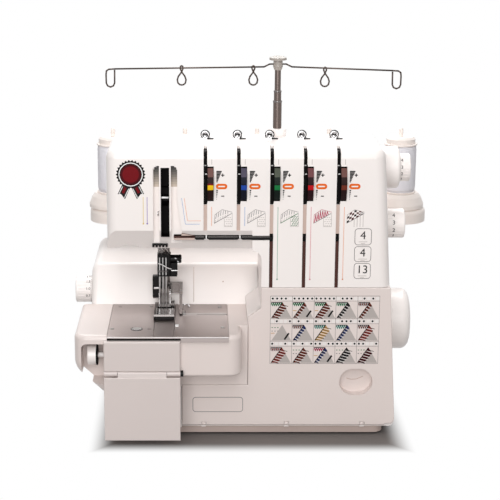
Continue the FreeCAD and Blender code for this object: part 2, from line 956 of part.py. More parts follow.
def chip_guard():
    """Fixed panel in front of the bed, with the outer knuckles of the flap's hinge."""
    front = flap_axis_y - flap_barrel
    panel = box(guard_left, guard_right, front, bed_front,
                flap_axis_z + flap_barrel + pass_gap, plate_z - plate_thickness - guard_drop)
    panel = rounded(panel, wall / 2, lambda p: near(p.y, front) and p.z > flap_axis_z + 4 * wall)
    knuckles = []
    for x0 in (guard_left, guard_right - flap_knuckle_end):
        x1 = x0 + flap_knuckle_end
        knuckles.append(rod_x(x0, x1, flap_axis_y, flap_axis_z, flap_barrel))
        knuckles.append(box(x0, x1, flap_axis_y, bed_front, flap_axis_z, flap_axis_z + 2 * flap_barrel))
    bore = rod_x(guard_left - 1, guard_right + 1, flap_axis_y, flap_axis_z, flap_pin + seat_gap)
    return without(joined([panel] + knuckles), [bore])


def chip_flap():
    """Hanging flap under the chip guard."""
    x0 = guard_left + flap_knuckle_end + pass_gap
    x1 = guard_right - flap_knuckle_end - pass_gap
    sheet_top = flap_axis_z - flap_barrel - pass_gap
    neck_bottom = flap_axis_z - 3 * flap_barrel
    sheet = box(guard_left, guard_right, flap_face, flap_face + flap_thickness, flap_bottom, sheet_top)
    sheet = rounded(sheet, flap_thickness / 3, lambda p: near(p.y, flap_face))
    barrel = rod_x(x0, x1, flap_axis_y, flap_axis_z, flap_barrel)
    neck = prism_yz([
        (flap_face + flap_thickness / 3, sheet_top),
        (flap_axis_y - flap_barrel, flap_axis_z),
        (flap_axis_y, flap_axis_z - flap_barrel),
        (flap_face + flap_thickness, neck_bottom),
        (flap_face + flap_thickness / 3, neck_bottom),
    ], x0, x1)
    bore = rod_x(x0 - 1, x1 + 1, flap_axis_y, flap_axis_z, flap_pin + run_gap)
    return without(joined([sheet, barrel, neck]), [bore])


def flap_hinge_pin():
    """Pin of the chip flap, with a dark head at its right end."""
    pin = rod_x(guard_left, guard_right, flap_axis_y, flap_axis_z, flap_pin)
    head = rod_x(guard_right, guard_right + wall, flap_axis_y, flap_axis_z, flap_barrel)
    return joined([pin, head])


def plate_piece(x0, x1, cutters):
    """One piece of the cloth plate with its openings."""
    piece = box(x0, x1, plate_front, bed_back - pass_gap, plate_z - plate_thickness, plate_z)
    piece = rounded(piece, plate_thickness / 3, lambda p: near(p.y, plate_front) and near(p.z, plate_z))
    return without(piece, cutters) if cutters else piece


def through_plate(x0, x1, y0, y1):
    """Cutter right through the cloth plate."""
    return box(x0, x1, y0, y1, plate_z - 2 * plate_thickness, plate_z + plate_thickness)


def cloth_plate_left():
    """Left plate, with two slots and the holes of its screws."""
    slots = []
    for across, along in left_slot_spots:
        x = plate_left + across
        y = plate_front + along
        slots.append(through_plate(x, x + plate_slot_length, y, y + plate_slot_width))
    return plate_piece(plate_left, needle_plate_left - plate_gap, slots + screw_holes(left_screws()))


def cloth_plate_right():
    """Right plate, with the opening of the knives, a thread channel and a folded front lip."""
    knife_room = through_plate(knife_face - knife_thickness - pass_gap, knife_back + knife_thickness,
                               knife_front - pass_gap, knife_rear + 2 + pass_gap)
    channel = box(needle_plate_right + 8 * wall, plate_right + 1, knife_front, knife_front + wall,
                  plate_z - plate_thickness / 2, plate_z + 1)
    cutters = [knife_room, channel] + screw_holes(right_screws())
    lip = box(guard_right + plate_gap, plate_right, plate_front, plate_front + plate_thickness,
              plate_z - plate_lip, plate_z - plate_thickness)
    return joined([plate_piece(needle_plate_right + plate_gap, plate_right, cutters), lip])


def feed_ribs():
    """Left edges of the two rows of feed teeth."""
    return (needle_x - feed_rib, needle_x + feed_rib)


def feed_spans():
    """Front and rear stretches of feed teeth, clear of the needles."""
    return [(needle_y + start, needle_y + end) for start, end in (feed_front_span, feed_rear_span)]


def needle_plate():
    """Middle plate with the needle hole and the feed slots."""
    cutters = [through_plate(needle_middle - needle_half, needle_middle + needle_half,
                             needle_y - needle_room, needle_y + needle_room)]
    for x in feed_ribs():
        for y0, y1 in feed_spans():
            room = feed_travel + pass_gap
            cutters.append(through_plate(x - pass_gap, x + feed_rib + pass_gap, y0 - room, y1 + room))
    return plate_piece(needle_plate_left, needle_plate_right, cutters)


def left_screws():
    """Places and head radii of the left plate's screws."""
    return [(plate_left + across, plate_front + along, head) for across, along, head in left_screw_spots]


def right_screws():
    """Places and head radii of the right plate's screws."""
    return [(plate_right - across, plate_front + along, head) for across, along, head in right_screw_spots]


def screw_holes(places):
    """Clear holes for the screws of a plate."""
    return [rod_z(plate_z - 2 * plate_thickness, plate_z + 1, x, y, r / 2 + seat_gap) for x, y, r in places]


def plate_screws():
    """Low screw heads on the cloth plates, with a slot across each."""
    screws = []
    for x, y, r in left_screws() + right_screws():
        head = rod_z(plate_z, plate_z + screw_rise, x, y, r)
        shank = rod_z(plate_z - plate_thickness, plate_z, x, y, r / 2)
        slot = box(x - r, x + r, y - r / 6, y + r / 6, plate_z + screw_rise / 2, plate_z + 2 * screw_rise)
        screws.append(without(joined([head, shank]), [slot]))
    return Part.makeCompound(screws)


def frame_casting():
    """Cast frame: base rail, shaft posts, column plate, arm beam, head and looper bracket."""
    rail_top = body_floor + 3 * wall
    rail_back = main_y + 4 * bush_radius
    post_half = 2 * bush_radius
    pieces = [box(main_posts[0], main_posts[-1] + 4 * post_width, main_y - post_half, rail_back,
                  body_floor, rail_top)]
    for x in main_posts:
        pieces.append(box(x, x + post_width, main_y - post_half, main_y + post_half,
                          body_floor, main_z + post_half))
    column_x = main_posts[-1]
    column_end = column_x + post_width
    pieces.append(box(column_x, column_end, beam_front - 2 * wall, beam_back, body_floor, beam_top))
    pieces.append(box(head_left, column_end, beam_front, beam_back, beam_bottom, beam_top))
    for x in arm_posts:
        pieces.append(box(x, x + post_width, arm_shaft_y - bush_radius + 1, beam_back,
                          arm_shaft_z - bush_radius - 2 * wall, arm_shaft_z + bush_radius + 2 * wall))
    head_front = take_axis_y - take_hub
    pieces.append(box(head_left, head_left + head_wall, head_front, beam_back, guide_bottom,
                      upper_guide_bottom + upper_guide_height))
    guide_top = guide_bottom + guide_height
    pieces.append(box(head_left, guide_right, guide_front, beam_back, guide_bottom, guide_top))
    pieces.append(box(head_left, guide_right, beam_front, beam_back, guide_bottom, beam_bottom + wall))
    pieces.append(box(head_left, rod_left - 2 * pass_gap, guide_front, beam_front + wall,
                      upper_guide_bottom, upper_guide_bottom + upper_guide_height))
    pieces.append(box(bracket_left, bracket_right, bracket_front, bracket_back, bracket_bottom, bracket_top))
    pieces.append(box(bracket_left + bracket_web_inset, bracket_right, bracket_front,
                      main_y - post_half + wall, bracket_bottom, bracket_bottom + bracket_web_height))
    pieces.append(box(needle_x - feed_guide_half, needle_x + feed_guide_half, bed_back + wall + pass_gap,
                      main_y - 2 * main_radius, body_floor, feed_bottom - belt_gap))
    frame = joined(pieces)
    bar_bottom_cut = guide_bottom - 1
    bar_top_cut = beam_top + 1
    cutters = [rod_x(x - 1, x + post_width + 1, main_y, main_z, bush_radius + seat_gap) for x in main_posts]
    cutters += [rod_x(x - 1, x + post_width + 1, arm_shaft_y, arm_shaft_z, bush_radius + seat_gap)
                for x in arm_posts]
    cutters += [
        rod_z(bar_bottom_cut, bar_top_cut, needle_x, needle_y, bar_radius + run_gap),
        rod_z(bar_bottom_cut, bar_top_cut, presser_x, presser_y, presser_radius + run_gap),
        rod_z(bar_bottom_cut, knife_top + knife_rod_room, knife_rod_x, knife_rod_y, knife_rod + run_gap),
        rod_y(beam_front - 1, beam_back + 1, lever_x, lever_z, lever_rod + run_gap),
        rod_x(head_left - 1, head_left + head_wall + 1, take_axis_y, take_axis_z, take_stub + run_gap),
        rod_z(mast_foot, bar_top_cut, mast_x, mast_y, lower_tube + seat_gap),
        rod_y(bracket_front - 1, bracket_back + 1, upper_looper_x, looper_z, looper_shaft + run_gap),
        rod_y(bracket_front - 1, bracket_back + 1, lower_looper_x, looper_z, looper_shaft + run_gap),
    ]
    return without(frame, cutters)


def bush(x, y, z, shaft):
    """Plain bearing bush in one post."""
    ring = rod_x(x, x + post_width, y, z, bush_radius)
    return ring.cut(rod_x(x - 1, x + post_width + 1, y, z, shaft + run_gap))


def shaft_bushes():
    """Bushes of the main shaft and of the arm shaft."""
    bushes = [bush(x, main_y, main_z, main_radius) for x in main_posts]
    bushes += [bush(x, arm_shaft_y, arm_shaft_z, arm_shaft_radius) for x in arm_posts]
    return Part.makeCompound(bushes)


def main_shaft():
    """Main shaft with two eccentrics for the loopers and the feed."""
    pieces = [rod_x(main_left, wheel_right - 2 * wall, main_y, main_z, main_radius)]
    for x, throw in ((needle_x - cam_width, cam_throw), (needle_x + cam_width, -cam_throw)):
        pieces.append(rod_x(x, x + cam_width, main_y, main_z + throw, main_radius + cam_rise))
    return joined(pieces)


def pulley(x0, width, y, z, radius, bore):
    """Belt pulley with a rim on each side."""
    pieces = [rod_x(x0, x0 + width, y, z, radius),
              rod_x(x0, x0 + pulley_flange, y, z, radius + flange_rise),
              rod_x(x0 + width - pulley_flange, x0 + width, y, z, radius + flange_rise)]
    return joined(pieces).cut(rod_x(x0 - 1, x0 + width + 1, y, z, bore))


def main_pulleys():
    """Timing pulley and motor-belt pulley of the main shaft."""
    bore = main_radius + seat_gap
    timing = pulley(timing_left, timing_width, main_y, main_z, timing_radius, bore)
    drive = pulley(drive_left, timing_width, main_y, main_z, drive_radius, bore)
    return Part.makeCompound([timing, drive])


def handwheel():
    """Handwheel with a rounded rim, a ring groove and a hub through the side wall."""
    wheel = rod_x(wheel_left, wheel_right, main_y, main_z, wheel_radius)
    wheel = rounded(wheel, wheel_round, lambda p: near(p.x, wheel_right))
    wheel = rounded(wheel, wall, lambda p: near(p.x, wheel_left))
    hub = rod_x(drive_left + timing_width + pass_gap, wheel_left + 1, main_y, main_z, hub_radius)
    bore = rod_x(drive_left, wheel_right - 2 * wall + pass_gap, main_y, main_z, main_radius + seat_gap)
    start = wheel_left + wheel_groove_inset
    end = start + wheel_groove_width
    groove = rod_x(start, end, main_y, main_z, wheel_radius + 1)
    groove = groove.cut(rod_x(start, end, main_y, main_z, wheel_radius - wheel_groove_depth))
    return without(joined([wheel, hub]), [groove, bore])


def arm_shaft():
    """Arm shaft with its timing pulley and the needle crank."""
    shaft = rod_x(crank_left + crank_width, arm_posts[-1] + post_width + wall, arm_shaft_y, arm_shaft_z,
                  arm_shaft_radius)
    rim = pulley(timing_left, timing_width, arm_shaft_y, arm_shaft_z, timing_radius, arm_shaft_radius)
    disc = rod_x(crank_left, crank_left + crank_width, arm_shaft_y, arm_shaft_z, crank_radius)
    pin = rod_x(crank_left - crank_pin_length, crank_left, arm_shaft_y + pin_lean, arm_shaft_z + pin_rise,
                crank_pin)
    return joined([shaft, rim, disc, pin])


def belt(x0, width, first, second, radii):
    """Closed flat belt round two pulleys, first and second in Y and Z."""
    def outline(grow):
        (y1, z1), (y2, z2) = first, second
        r1, r2 = radii[0] + grow, radii[1] + grow
        span = math.hypot(y2 - y1, z2 - z1)
        lean = math.asin((r1 - r2) / span)
        along = math.atan2(z2 - z1, y2 - y1)

        def point(y, z, r, angle):
            return FreeCAD.Vector(x0, y + r * math.cos(angle), z + r * math.sin(angle))

        up = along + math.pi / 2 - lean
        down = along - math.pi / 2 + lean
        a, b = point(y1, z1, r1, up), point(y2, z2, r2, up)
        c, d = point(y2, z2, r2, down), point(y1, z1, r1, down)
        far, back = point(y2, z2, r2, along), point(y1, z1, r1, along + math.pi)
        edges = [Part.LineSegment(a, b).toShape(), Part.Arc(b, far, c).toShape(),
                 Part.LineSegment(c, d).toShape(), Part.Arc(d, back, a).toShape()]
        return Part.Face(Part.Wire(edges)).extrude(FreeCAD.Vector(width, 0, 0))

    return outline(belt_gap + belt_thickness).cut(outline(belt_gap))


def timing_belt():
    """Belt between the main shaft and the arm shaft."""
    inset = pulley_flange + pass_gap
    return belt(timing_left + inset, timing_width - 2 * inset, (main_y, main_z), (arm_shaft_y, arm_shaft_z),
                (timing_radius, timing_radius))


def motor_belt():
    """Belt from the motor to the main shaft."""
    inset = pulley_flange + pass_gap
    return belt(drive_left + inset, timing_width - 2 * inset, (main_y, main_z), (motor_y, motor_z),
                (drive_radius, motor_pulley_radius))


def motor():
    """Motor can with a bearing boss."""
    end = motor_left + motor_length
    can = rod_x(motor_left, end, motor_y, motor_z, motor_radius)
    can = rounded(can, wall, lambda p: True)
    boss = rod_x(end - 1, end + motor_boss_length, motor_y, motor_z, motor_boss)
    bore = rod_x(end - motor_boss_length, end + 2 * motor_boss_length, motor_y, motor_z,
                 motor_shaft + run_gap)
    return joined([can, boss]).cut(bore)


def motor_pulley():
    """Motor shaft with its belt pulley."""
    start = motor_left + motor_length - motor_boss_length + pass_gap
    end = drive_left + timing_width
    shaft = rod_x(start, end, motor_y, motor_z, motor_shaft)
    rim = pulley(drive_left, timing_width, motor_y, motor_z, motor_pulley_radius, motor_shaft)
    return joined([shaft, rim])


def needle_bar():
    """Needle bar with its collar and the stud of the connecting rod."""
    bar = rod_z(bar_bottom, bar_top, needle_x, needle_y, bar_radius)
    half = bar_radius + collar_rim
    collar = box(needle_x - half, needle_x + half, needle_y - half, needle_y + half,
                 collar_bottom, collar_bottom + collar_height)
    stud = rod_x(needle_x, rod_right, needle_y, collar_bottom + collar_height / 2, rod_eye / 2)
    return joined([bar, collar, stud])


def connecting_rod():
    """Rod between the needle crank and the needle bar, leaning back to the crank pin."""
    low = collar_bottom + collar_height / 2
    high = arm_shaft_z + pin_rise
    top_y = needle_y + pin_lean
    half = rod_eye / 2
    low_eye = rod_x(rod_left, rod_right, needle_y, low, rod_eye)
    high_eye = rod_x(rod_left, rod_right, top_y, high, rod_eye)
    web = prism_yz([
        (needle_y - half, low), (needle_y + half, low), (top_y + half, high), (top_y - half, high),
    ], rod_left, rod_right)
    low_bore = rod_x(rod_left - 1, rod_right + 1, needle_y, low, half + seat_gap)
    high_bore = rod_x(rod_left - 1, rod_right + 1, top_y, high, crank_pin + run_gap)
    return without(joined([low_eye, high_eye, web]), [low_bore, high_bore])


def needle_clamp():
    """Dark clamp block with a large screw and a thread arm."""
    block = box(clamp_left, clamp_right, needle_y - clamp_half_depth, needle_y + clamp_half_depth,
                clamp_bottom, clamp_top)
    block = rounded(block, clamp_round, lambda p: near(p.y, needle_y - clamp_half_depth))
    screw_end = clamp_right + clamp_screw_length
    screw_z = clamp_top - clamp_screw - clamp_round
    screw = rod_x(clamp_right - clamp_screw_inset, screw_end, needle_y - clamp_screw_inset, screw_z,
                  clamp_screw)
    screw = rounded(screw, clamp_screw_inset, lambda p: near(p.x, screw_end))
    arm = box(clamp_right - clamp_screw_inset, screw_end - clamp_arm_short, needle_y - clamp_arm_front,
              needle_y + clamp_arm_back, clamp_bottom, clamp_bottom + clamp_screw)
    bore = rod_z(bar_bottom, clamp_top + 1, needle_x, needle_y, bar_radius + seat_gap)
    return joined([block, screw, arm]).cut(bore)


def needles():
    """Needles hanging from the clamp, each with a point."""
    group = []
    shank_bottom = clamp_bottom - needle_shank_length
    for index in range(needle_count):
        x = needle_middle + (index - (needle_count - 1) / 2) * needle_spacing
        group.append(turned([
            (0, needle_tip_z),
            (needle_blade, needle_tip_z + needle_point),
            (needle_blade, shank_bottom - needle_taper),
            (needle_shank, shank_bottom),
            (needle_shank, clamp_bottom),
            (0, clamp_bottom),
        ], x, needle_y))
    return Part.makeCompound(group)


def take_up_lever():
    """Take-up lever with a cross bar in the channel of the front cover."""
    x0 = (take_slot_left + take_slot_right) / 2 - take_arm_width / 2
    x1 = x0 + take_arm_width
    half = take_arm_width / 2
    stub = rod_x(head_left + wall / 6, x0 + 1, take_axis_y, take_axis_z, take_stub)
    hub = rod_x(x0, x1, take_axis_y, take_axis_z, take_hub)
    bar_y = take_axis_y - take_reach
    arm = box(x0, x1, bar_y, take_axis_y, take_axis_z - half, take_axis_z + half)
    bar = rod_x(take_slot_left + pass_gap, take_slot_right - pass_gap, bar_y, take_axis_z, take_bar)
    return joined([stub, hub, arm, bar])


def presser_bar():
    """Presser bar with the collar that the lever lifts."""
    bar = rod_z(presser_bottom, presser_top, presser_x, presser_y, presser_radius)
    half = presser_radius + presser_collar_rim
    collar = box(presser_x - half, presser_x + half, presser_y - half, beam_front - 1,
                 presser_collar_bottom, presser_collar_bottom + 2 * wall)
    return joined([bar, collar])


def presser_foot():
    """Presser foot: sole with a needle slot open to the knife side, ankle and release lever."""
    sole_top = foot_sole + foot_thickness
    toe = foot_front - foot_toe
    sole = prism_yz([
        (foot_rear, foot_sole), (foot_rear, sole_top), (foot_front, sole_top),
        (toe, sole_top + toe_rise), (toe - toe_lip, sole_top), (foot_front, foot_sole),
    ], foot_left, foot_right)
    ankle = box(presser_x - ankle_half, presser_x + ankle_half, presser_y - ankle_half,
                presser_y + ankle_half, sole_top - 1, presser_bottom + ankle_rise)
    release = box(foot_left - release_out, presser_x - release_in, presser_y - ankle_half,
                  presser_y + release_back, sole_top + release_lift, clamp_bottom - release_drop)
    side = box(foot_right - side_width, foot_right, needle_y + needle_room, presser_y,
               sole_top - 1, sole_top + side_rise)
    slot = box(needle_middle - needle_half, foot_right + 1, needle_y - needle_room,
               needle_y + needle_room, foot_sole - 1, sole_top + foot_thickness)
    bore = rod_z(presser_bottom, clamp_bottom, presser_x, presser_y, presser_radius + seat_gap)
    return without(joined([sole, ankle, release, side]), [slot, bore])


def foot_lever():
    """Presser-foot lever behind the arm, with its shaft and cam."""
    lobe_front = beam_front - lobe_width
    y0 = arm_back + pass_gap
    shaft = rod_y(lobe_front, y0 + lever_thickness, lever_x, lever_z, lever_rod)
    hub = rod_y(y0, y0 + lever_thickness, lever_x, lever_z, 2.5 * lever_rod)
    grip = prism_xz([
        (lever_x, lever_z - 2 * lever_rod),
        (lever_x, lever_z + 2 * lever_rod),
        (lever_x + lever_length, lever_z - 3 * lever_rod),
        (lever_x + lever_length, lever_z - 6 * lever_rod),
    ], y0, y0 + lever_thickness)
    grip = rounded(grip, lever_thickness / 3, lambda p: near(p.x, lever_x + lever_length))
    lobe = box(lever_x, lever_x + lobe_length, lobe_front, beam_front - pass_gap,
               lever_z - lever_rod / 2, lever_z + lever_rod / 2)
    return joined([shaft, hub, grip, lobe])


def upper_knife():
    """Upper knife on its guide rod."""
    left = knife_face - knife_thickness
    arm_top = knife_edge_z + knife_height + 1
    arm_bottom_z = arm_top - knife_height / 2
    arm_back_y = knife_rod_y + knife_rod
    rod = rod_z(arm_bottom_z + wall, knife_top, knife_rod_x, knife_rod_y, knife_rod)
    blade = box(left, knife_face, knife_front, knife_rear, knife_edge_z, knife_edge_z + knife_height)
    arm = box(left, knife_face, knife_rear - knife_arm_over, arm_back_y, arm_bottom_z, arm_top)
    cross = box(knife_rod_x - 2 * knife_rod, knife_face, knife_rod_y - knife_rod, arm_back_y,
                arm_bottom_z, arm_top)
    return joined([rod, blade, arm, cross])


def lower_knife():
    """Fixed lower knife with its holder on the looper bracket."""
    thickness = knife_thickness - 2 * pass_gap
    blade_right = knife_back + thickness
    blade = box(knife_back, blade_right, knife_front, knife_rear + 2, bracket_top, plate_z - pass_gap)
    holder = box(blade_right, blade_right + 3 * thickness, knife_front, bracket_back,
                 bracket_top, bracket_top + knife_height / 3)
    return joined([blade, holder])


def looper(pivot_x, side, y_back, reach):
    """Looper on a cross shaft, with a blade that leans towards the needles."""
    z = looper_z
    shaft = rod_y(y_back - looper_blade, bracket_back + 1, pivot_x, z, looper_shaft)
    hub = rod_y(y_back - looper_blade, y_back, pivot_x, z, looper_shaft + looper_hub_rim)
    points = [
        (0, -looper_root), (0, looper_root), (0.6 * reach, looper_bend_rise), (reach, looper_rise),
        (reach + looper_point, looper_rise - looper_point_drop), (0.68 * reach, looper_heel_rise),
    ]
    blade = prism_xz([(pivot_x + side * x, z + rise) for x, rise in points], y_back - looper_blade, y_back)
    return joined([shaft, hub, blade])


def upper_looper():
    """Upper looper, left of the needles."""
    return looper(upper_looper_x, 1, needle_y - upper_looper_front, upper_looper_reach)


def lower_looper():
    """Lower looper, right of the needles."""
    return looper(lower_looper_x, -1, needle_y - lower_looper_front, lower_looper_reach)


def feed_dogs():
    """Feed bar with rows of teeth in the slots of the needle plate."""
    front = feed_spans()[0][0]
    rear = feed_spans()[1][1]
    top = feed_bottom + feed_height
    block = box(needle_x - feed_half, needle_x + feed_half, front, rear, feed_bottom, top)
    tail = box(needle_x - feed_half / 2, needle_x + feed_half / 2, rear - 1, main_y - 2 * main_radius,
               feed_bottom, top)
    gap_half = needle_room + feed_travel
    gap = box(needle_x - feed_half + 2, needle_x + feed_half - 2, needle_y - gap_half, needle_y + gap_half,
              feed_bottom - 1, top + 1)
    ribs = [box(x, x + feed_rib, y0, y1, top - 1, plate_z - pass_gap)
            for x in feed_ribs() for y0, y1 in feed_spans()]
    return joined([block, tail] + ribs).cut(gap)


def tension_dial(index):
    """Thumb wheel of one thread tension, with a fluted rim."""
    x0 = dial_left(index)
    wheel = rod_x(x0, x0 + dial_width, dial_y, dial_z, dial_radius)
    wheel = rounded(wheel, flute_radius, lambda p: True)
    flutes = []
    for step in range(dial_flutes):
        angle = 2 * math.pi * step / dial_flutes
        flutes.append(rod_x(x0 - 1, x0 + dial_width + 1, dial_y + dial_radius * math.cos(angle),
                            dial_z + dial_radius * math.sin(angle), flute_radius / 2))
    bore = rod_x(x0 - 1, x0 + dial_width + 1, dial_y, dial_z, tension_rod + run_gap)
    return without(wheel, flutes + [bore])


def tension_shaft():
    """Rod that carries the five tension dials."""
    x0 = slot_x(0) - slot_width / 2 - 2 * tension_lug
    x1 = dial_left(slot_count - 1) + dial_width + 2 * tension_lug
    return rod_x(x0, x1, dial_y, dial_z, tension_rod)


def side_dial(x0, x1, y, z, radius, stem_end):
    """Round dial on the side of the casing with a stem through the wall."""
    dial = rod_x(min(x0, x1), max(x0, x1), y, z, radius)
    dial = rounded(dial, wall / 2, lambda p: near(p.x, x1))
    stem = rod_x(min(x0, stem_end), max(x0, stem_end), y, z, side_stem)
    grooves = []
    for step in range(side_grooves):
        angle = 2 * math.pi * step / side_grooves
        grooves.append(rod_x(min(x0, x1) + wall, max(x0, x1) - wall, y + radius * math.cos(angle),
                             z + radius * math.sin(angle), side_groove))
    return without(joined([dial, stem]), grooves)


def selector_dial():
    """Stitch selector on the upper right side."""
    return side_dial(selector_base_end + pass_gap, selector_end, selector_y, selector_z,
                     selector_dial_radius, right_x(selector_z) - stem_depth)


def length_dial():
    """Stitch length dial on the right side."""
    inner = right_x(length_z - length_radius) + pass_gap
    return side_dial(inner, length_end, selector_y, length_z, length_radius, right_x(length_z) - stem_depth)


def differential_dial():
    """Differential feed dial on the left rear."""
    return side_dial(rear_left - pass_gap, diff_end, diff_y, diff_z, diff_radius, rear_left + stem_depth)


def width_knob():
    """Cutting width knob in the niche of the bed."""
    x1 = width_knob_left + width_knob_length
    knob = rod_x(width_knob_left, x1, width_knob_y, width_knob_z, width_knob_radius)
    knob = rounded(knob, wall / 2, lambda p: near(p.x, width_knob_left))
    stem = rod_x(x1 - 1, niche_right + 2 * wall, width_knob_y, width_knob_z, width_stem)
    return joined([knob, stem])


def spool_tray():
    """Long tray of the spool stand on two posts."""
    tray = stadium_prism(tray_left, tray_right, tray_y, tray_half_depth, tray_bottom, tray_top)
    tray = rounded(tray, tray_round, lambda p: near(p.z, tray_top))
    hollow = stadium_prism(tray_left + wall, tray_right - wall, tray_y, tray_half_depth - wall,
                           tray_bottom - 1, tray_top - 2 * wall)
    tray = tray.cut(hollow)
    posts = [box(x - post_half_width, x + post_half_width, tray_y - post_half_width,
                 tray_y + post_half_width / 2, seam_z, tray_top - wall) for x in post_places]
    return joined([tray] + posts)


def pin_x(index):
    """Place of one spool pin along the tray."""
    return first_pin + index * pin_pitch


def spool_pins():
    """Spool pins, each with a domed foot on the tray."""
    height = cone_top - tray_top
    profile = [
        (0, tray_top),
        (cone_radius, tray_top),
        (cone_radius, tray_top + 0.25 * height),
        ((cone_radius + cone_shoulder) / 2, tray_top + 0.75 * height),
        (cone_shoulder, cone_top),
        (pin_radius, cone_top),
        (pin_radius, pin_top - pin_radius / 2),
        (pin_radius / 2, pin_top),
        (0, pin_top),
    ]
    return Part.makeCompound([turned(profile, pin_x(index), tray_y) for index in range(pin_count)])


def thread_spools():
    """Thread spools on the pins: a wound body between two rims."""
    waist = spool_radius - spool_waist
    profile = [
        (spool_bore, cone_top), (spool_radius, cone_top), (spool_radius, cone_top + spool_rim),
        (waist, cone_top + spool_rim), (waist, spool_top - spool_rim), (spool_radius, spool_top - spool_rim),
        (spool_radius, spool_top), (spool_bore, spool_top),
    ]
    return Part.makeCompound([turned(profile, pin_x(index), tray_y) for index in range(pin_count)])


def spool_caps():
    """Round caps on top of the spools."""
    bore = pin_radius + run_gap
    profile = [
        (bore, spool_top), (cap_radius, spool_top), (cap_radius, cap_top - cap_edge),
        (cap_radius - cap_edge, cap_top), (bore, cap_top),
    ]
    return Part.makeCompound([turned(profile, pin_x(index), tray_y) for index in range(pin_count)])


def mast_tube(radius, bottom, top):
    """One tube of the telescopic mast."""
    tube = rod_z(bottom, top, mast_x, mast_y, radius)
    return tube.cut(rod_z(bottom - 1, top + 1, mast_x, mast_y, radius - tube_wall))


def mast_head():
    """Plastic head on the top tube, with a disc and a cone."""
    disc_bottom = head_top - head_disc_height
    head = turned([
        (0, upper_tube_top), (upper_tube + head_foot_rim, upper_tube_top),
        (upper_tube + head_belly_rim, upper_tube_top + head_belly_rise),
        (upper_tube + head_neck_rim, disc_bottom), (head_disc, disc_bottom),
        (head_disc, head_top - head_cone_height), (head_tip, head_top), (0, head_top),
    ], mast_x, mast_y)
    return head.cut(rod_x(mast_x - head_disc, mast_x + head_disc, mast_y, wire_z, wire_radius + seat_gap))


def eyelet_x(index):
    """Place of one eyelet along the guide wire."""
    return eyelet_middle_x + (index - 2) * eyelet_pitch


def wire_bar(x0, z0, x1, z1):
    """Straight stretch of the guide wire with round ends."""
    start = FreeCAD.Vector(x0, mast_y, z0)
    run = FreeCAD.Vector(x1 - x0, 0, z1 - z0)
    bar = Part.makeCylinder(wire_radius, run.Length, start, run)
    return joined([bar, Part.makeSphere(wire_radius, start)])


def guide_wire():
    """Guide wire across the mast head, with three hanging eyelets and two end loops."""
    first, last = eyelet_x(0), eyelet_x(4)
    side = wire_straight / 2
    bars = [wire_bar(first, wire_z - wire_end_drop, mast_x - side, wire_z),
            wire_bar(last, wire_z - wire_end_drop, mast_x + side, wire_z),
            wire_bar(mast_x - side, wire_z, mast_x + side, wire_z)]
    rings = []
    for index in (1, 2, 3):
        x = eyelet_x(index)
        centre = FreeCAD.Vector(x, mast_y, wire_z - eyelet_drop)
        rings.append(Part.makeTorus(eyelet_radius, wire_radius, centre, FreeCAD.Vector(0, 1, 0)))
        rings.append(rod_z(centre.z + eyelet_radius, wire_z - wire_radius, x, mast_y, wire_radius))
    for x, way in ((first, -1), (last, 1)):
        low = wire_z - wire_end_drop - end_loop_drop
        top = wire_z - wire_end_drop
        middle = x + way * end_loop_radius
        centre = FreeCAD.Vector(middle, mast_y, low)
        ring = Part.makeTorus(end_loop_radius, wire_radius, centre, FreeCAD.Vector(0, 1, 0))
        reach = 2 * end_loop_radius
        half = box(middle - reach, middle + reach, mast_y - reach, mast_y + reach, low - reach, low)
        rings.append(ring.common(half))
        rings.append(rod_z(low, top, middle - end_loop_radius, mast_y, wire_radius))
        rings.append(rod_z(low, top, middle + end_loop_radius, mast_y, wire_radius))
    return joined(bars + rings)


def top_thread_guides():
    """Five small wire arches on plates on top of the arm, one above each slot."""
    guides = []
    for index in range(slot_count):
        x = slot_x(index)
        half = guide_arch + guide_plate_rim
        y0, y1 = guide_y - guide_plate_half, guide_y + guide_plate_half
        plate = box(x - half, x + half, y0, y1, top_z, top_z + guide_plate_thickness)
        centre = FreeCAD.Vector(x, guide_y, top_z + guide_arch)
        ring = Part.makeTorus(guide_arch, guide_wire_size, centre, FreeCAD.Vector(0, 1, 0))
        above = box(x - half, x + half, y0, y1, centre.z, centre.z + half)
        legs = [rod_z(top_z, centre.z, x + side * guide_arch, guide_y, guide_wire_size) for side in (-1, 1)]
        guides.append(joined([plate, ring.common(above)] + legs))
    return Part.makeCompound(guides)


def power_inlet():
    """Appliance inlet in the rear wall, with three contacts."""
    w, h = inlet_half_width, inlet_half_height
    rim = box(inlet_x - w - inlet_rim, inlet_x + w + inlet_rim, body_back, body_back + inlet_lip,
              inlet_z - h - inlet_rim, inlet_z + h + inlet_rim)
    can = box(inlet_x - w, inlet_x + w, body_back - inlet_depth, body_back + 1, inlet_z - h, inlet_z + h)
    socket = box(inlet_x - w + inlet_rim, inlet_x + w - inlet_rim, body_back - inlet_depth + inlet_rim,
                 body_back + inlet_rim, inlet_z - h + inlet_rim, inlet_z + h - inlet_rim)
    pins = [box(inlet_x + x - inlet_pin, inlet_x + x + inlet_pin, body_back - inlet_depth + 1,
                body_back - inlet_pin_set_back, inlet_z + z - 2 * inlet_pin, inlet_z + z + 2 * inlet_pin)
            for x, z in inlet_pin_places]
    return joined([joined([rim, can]).cut(socket)] + pins)


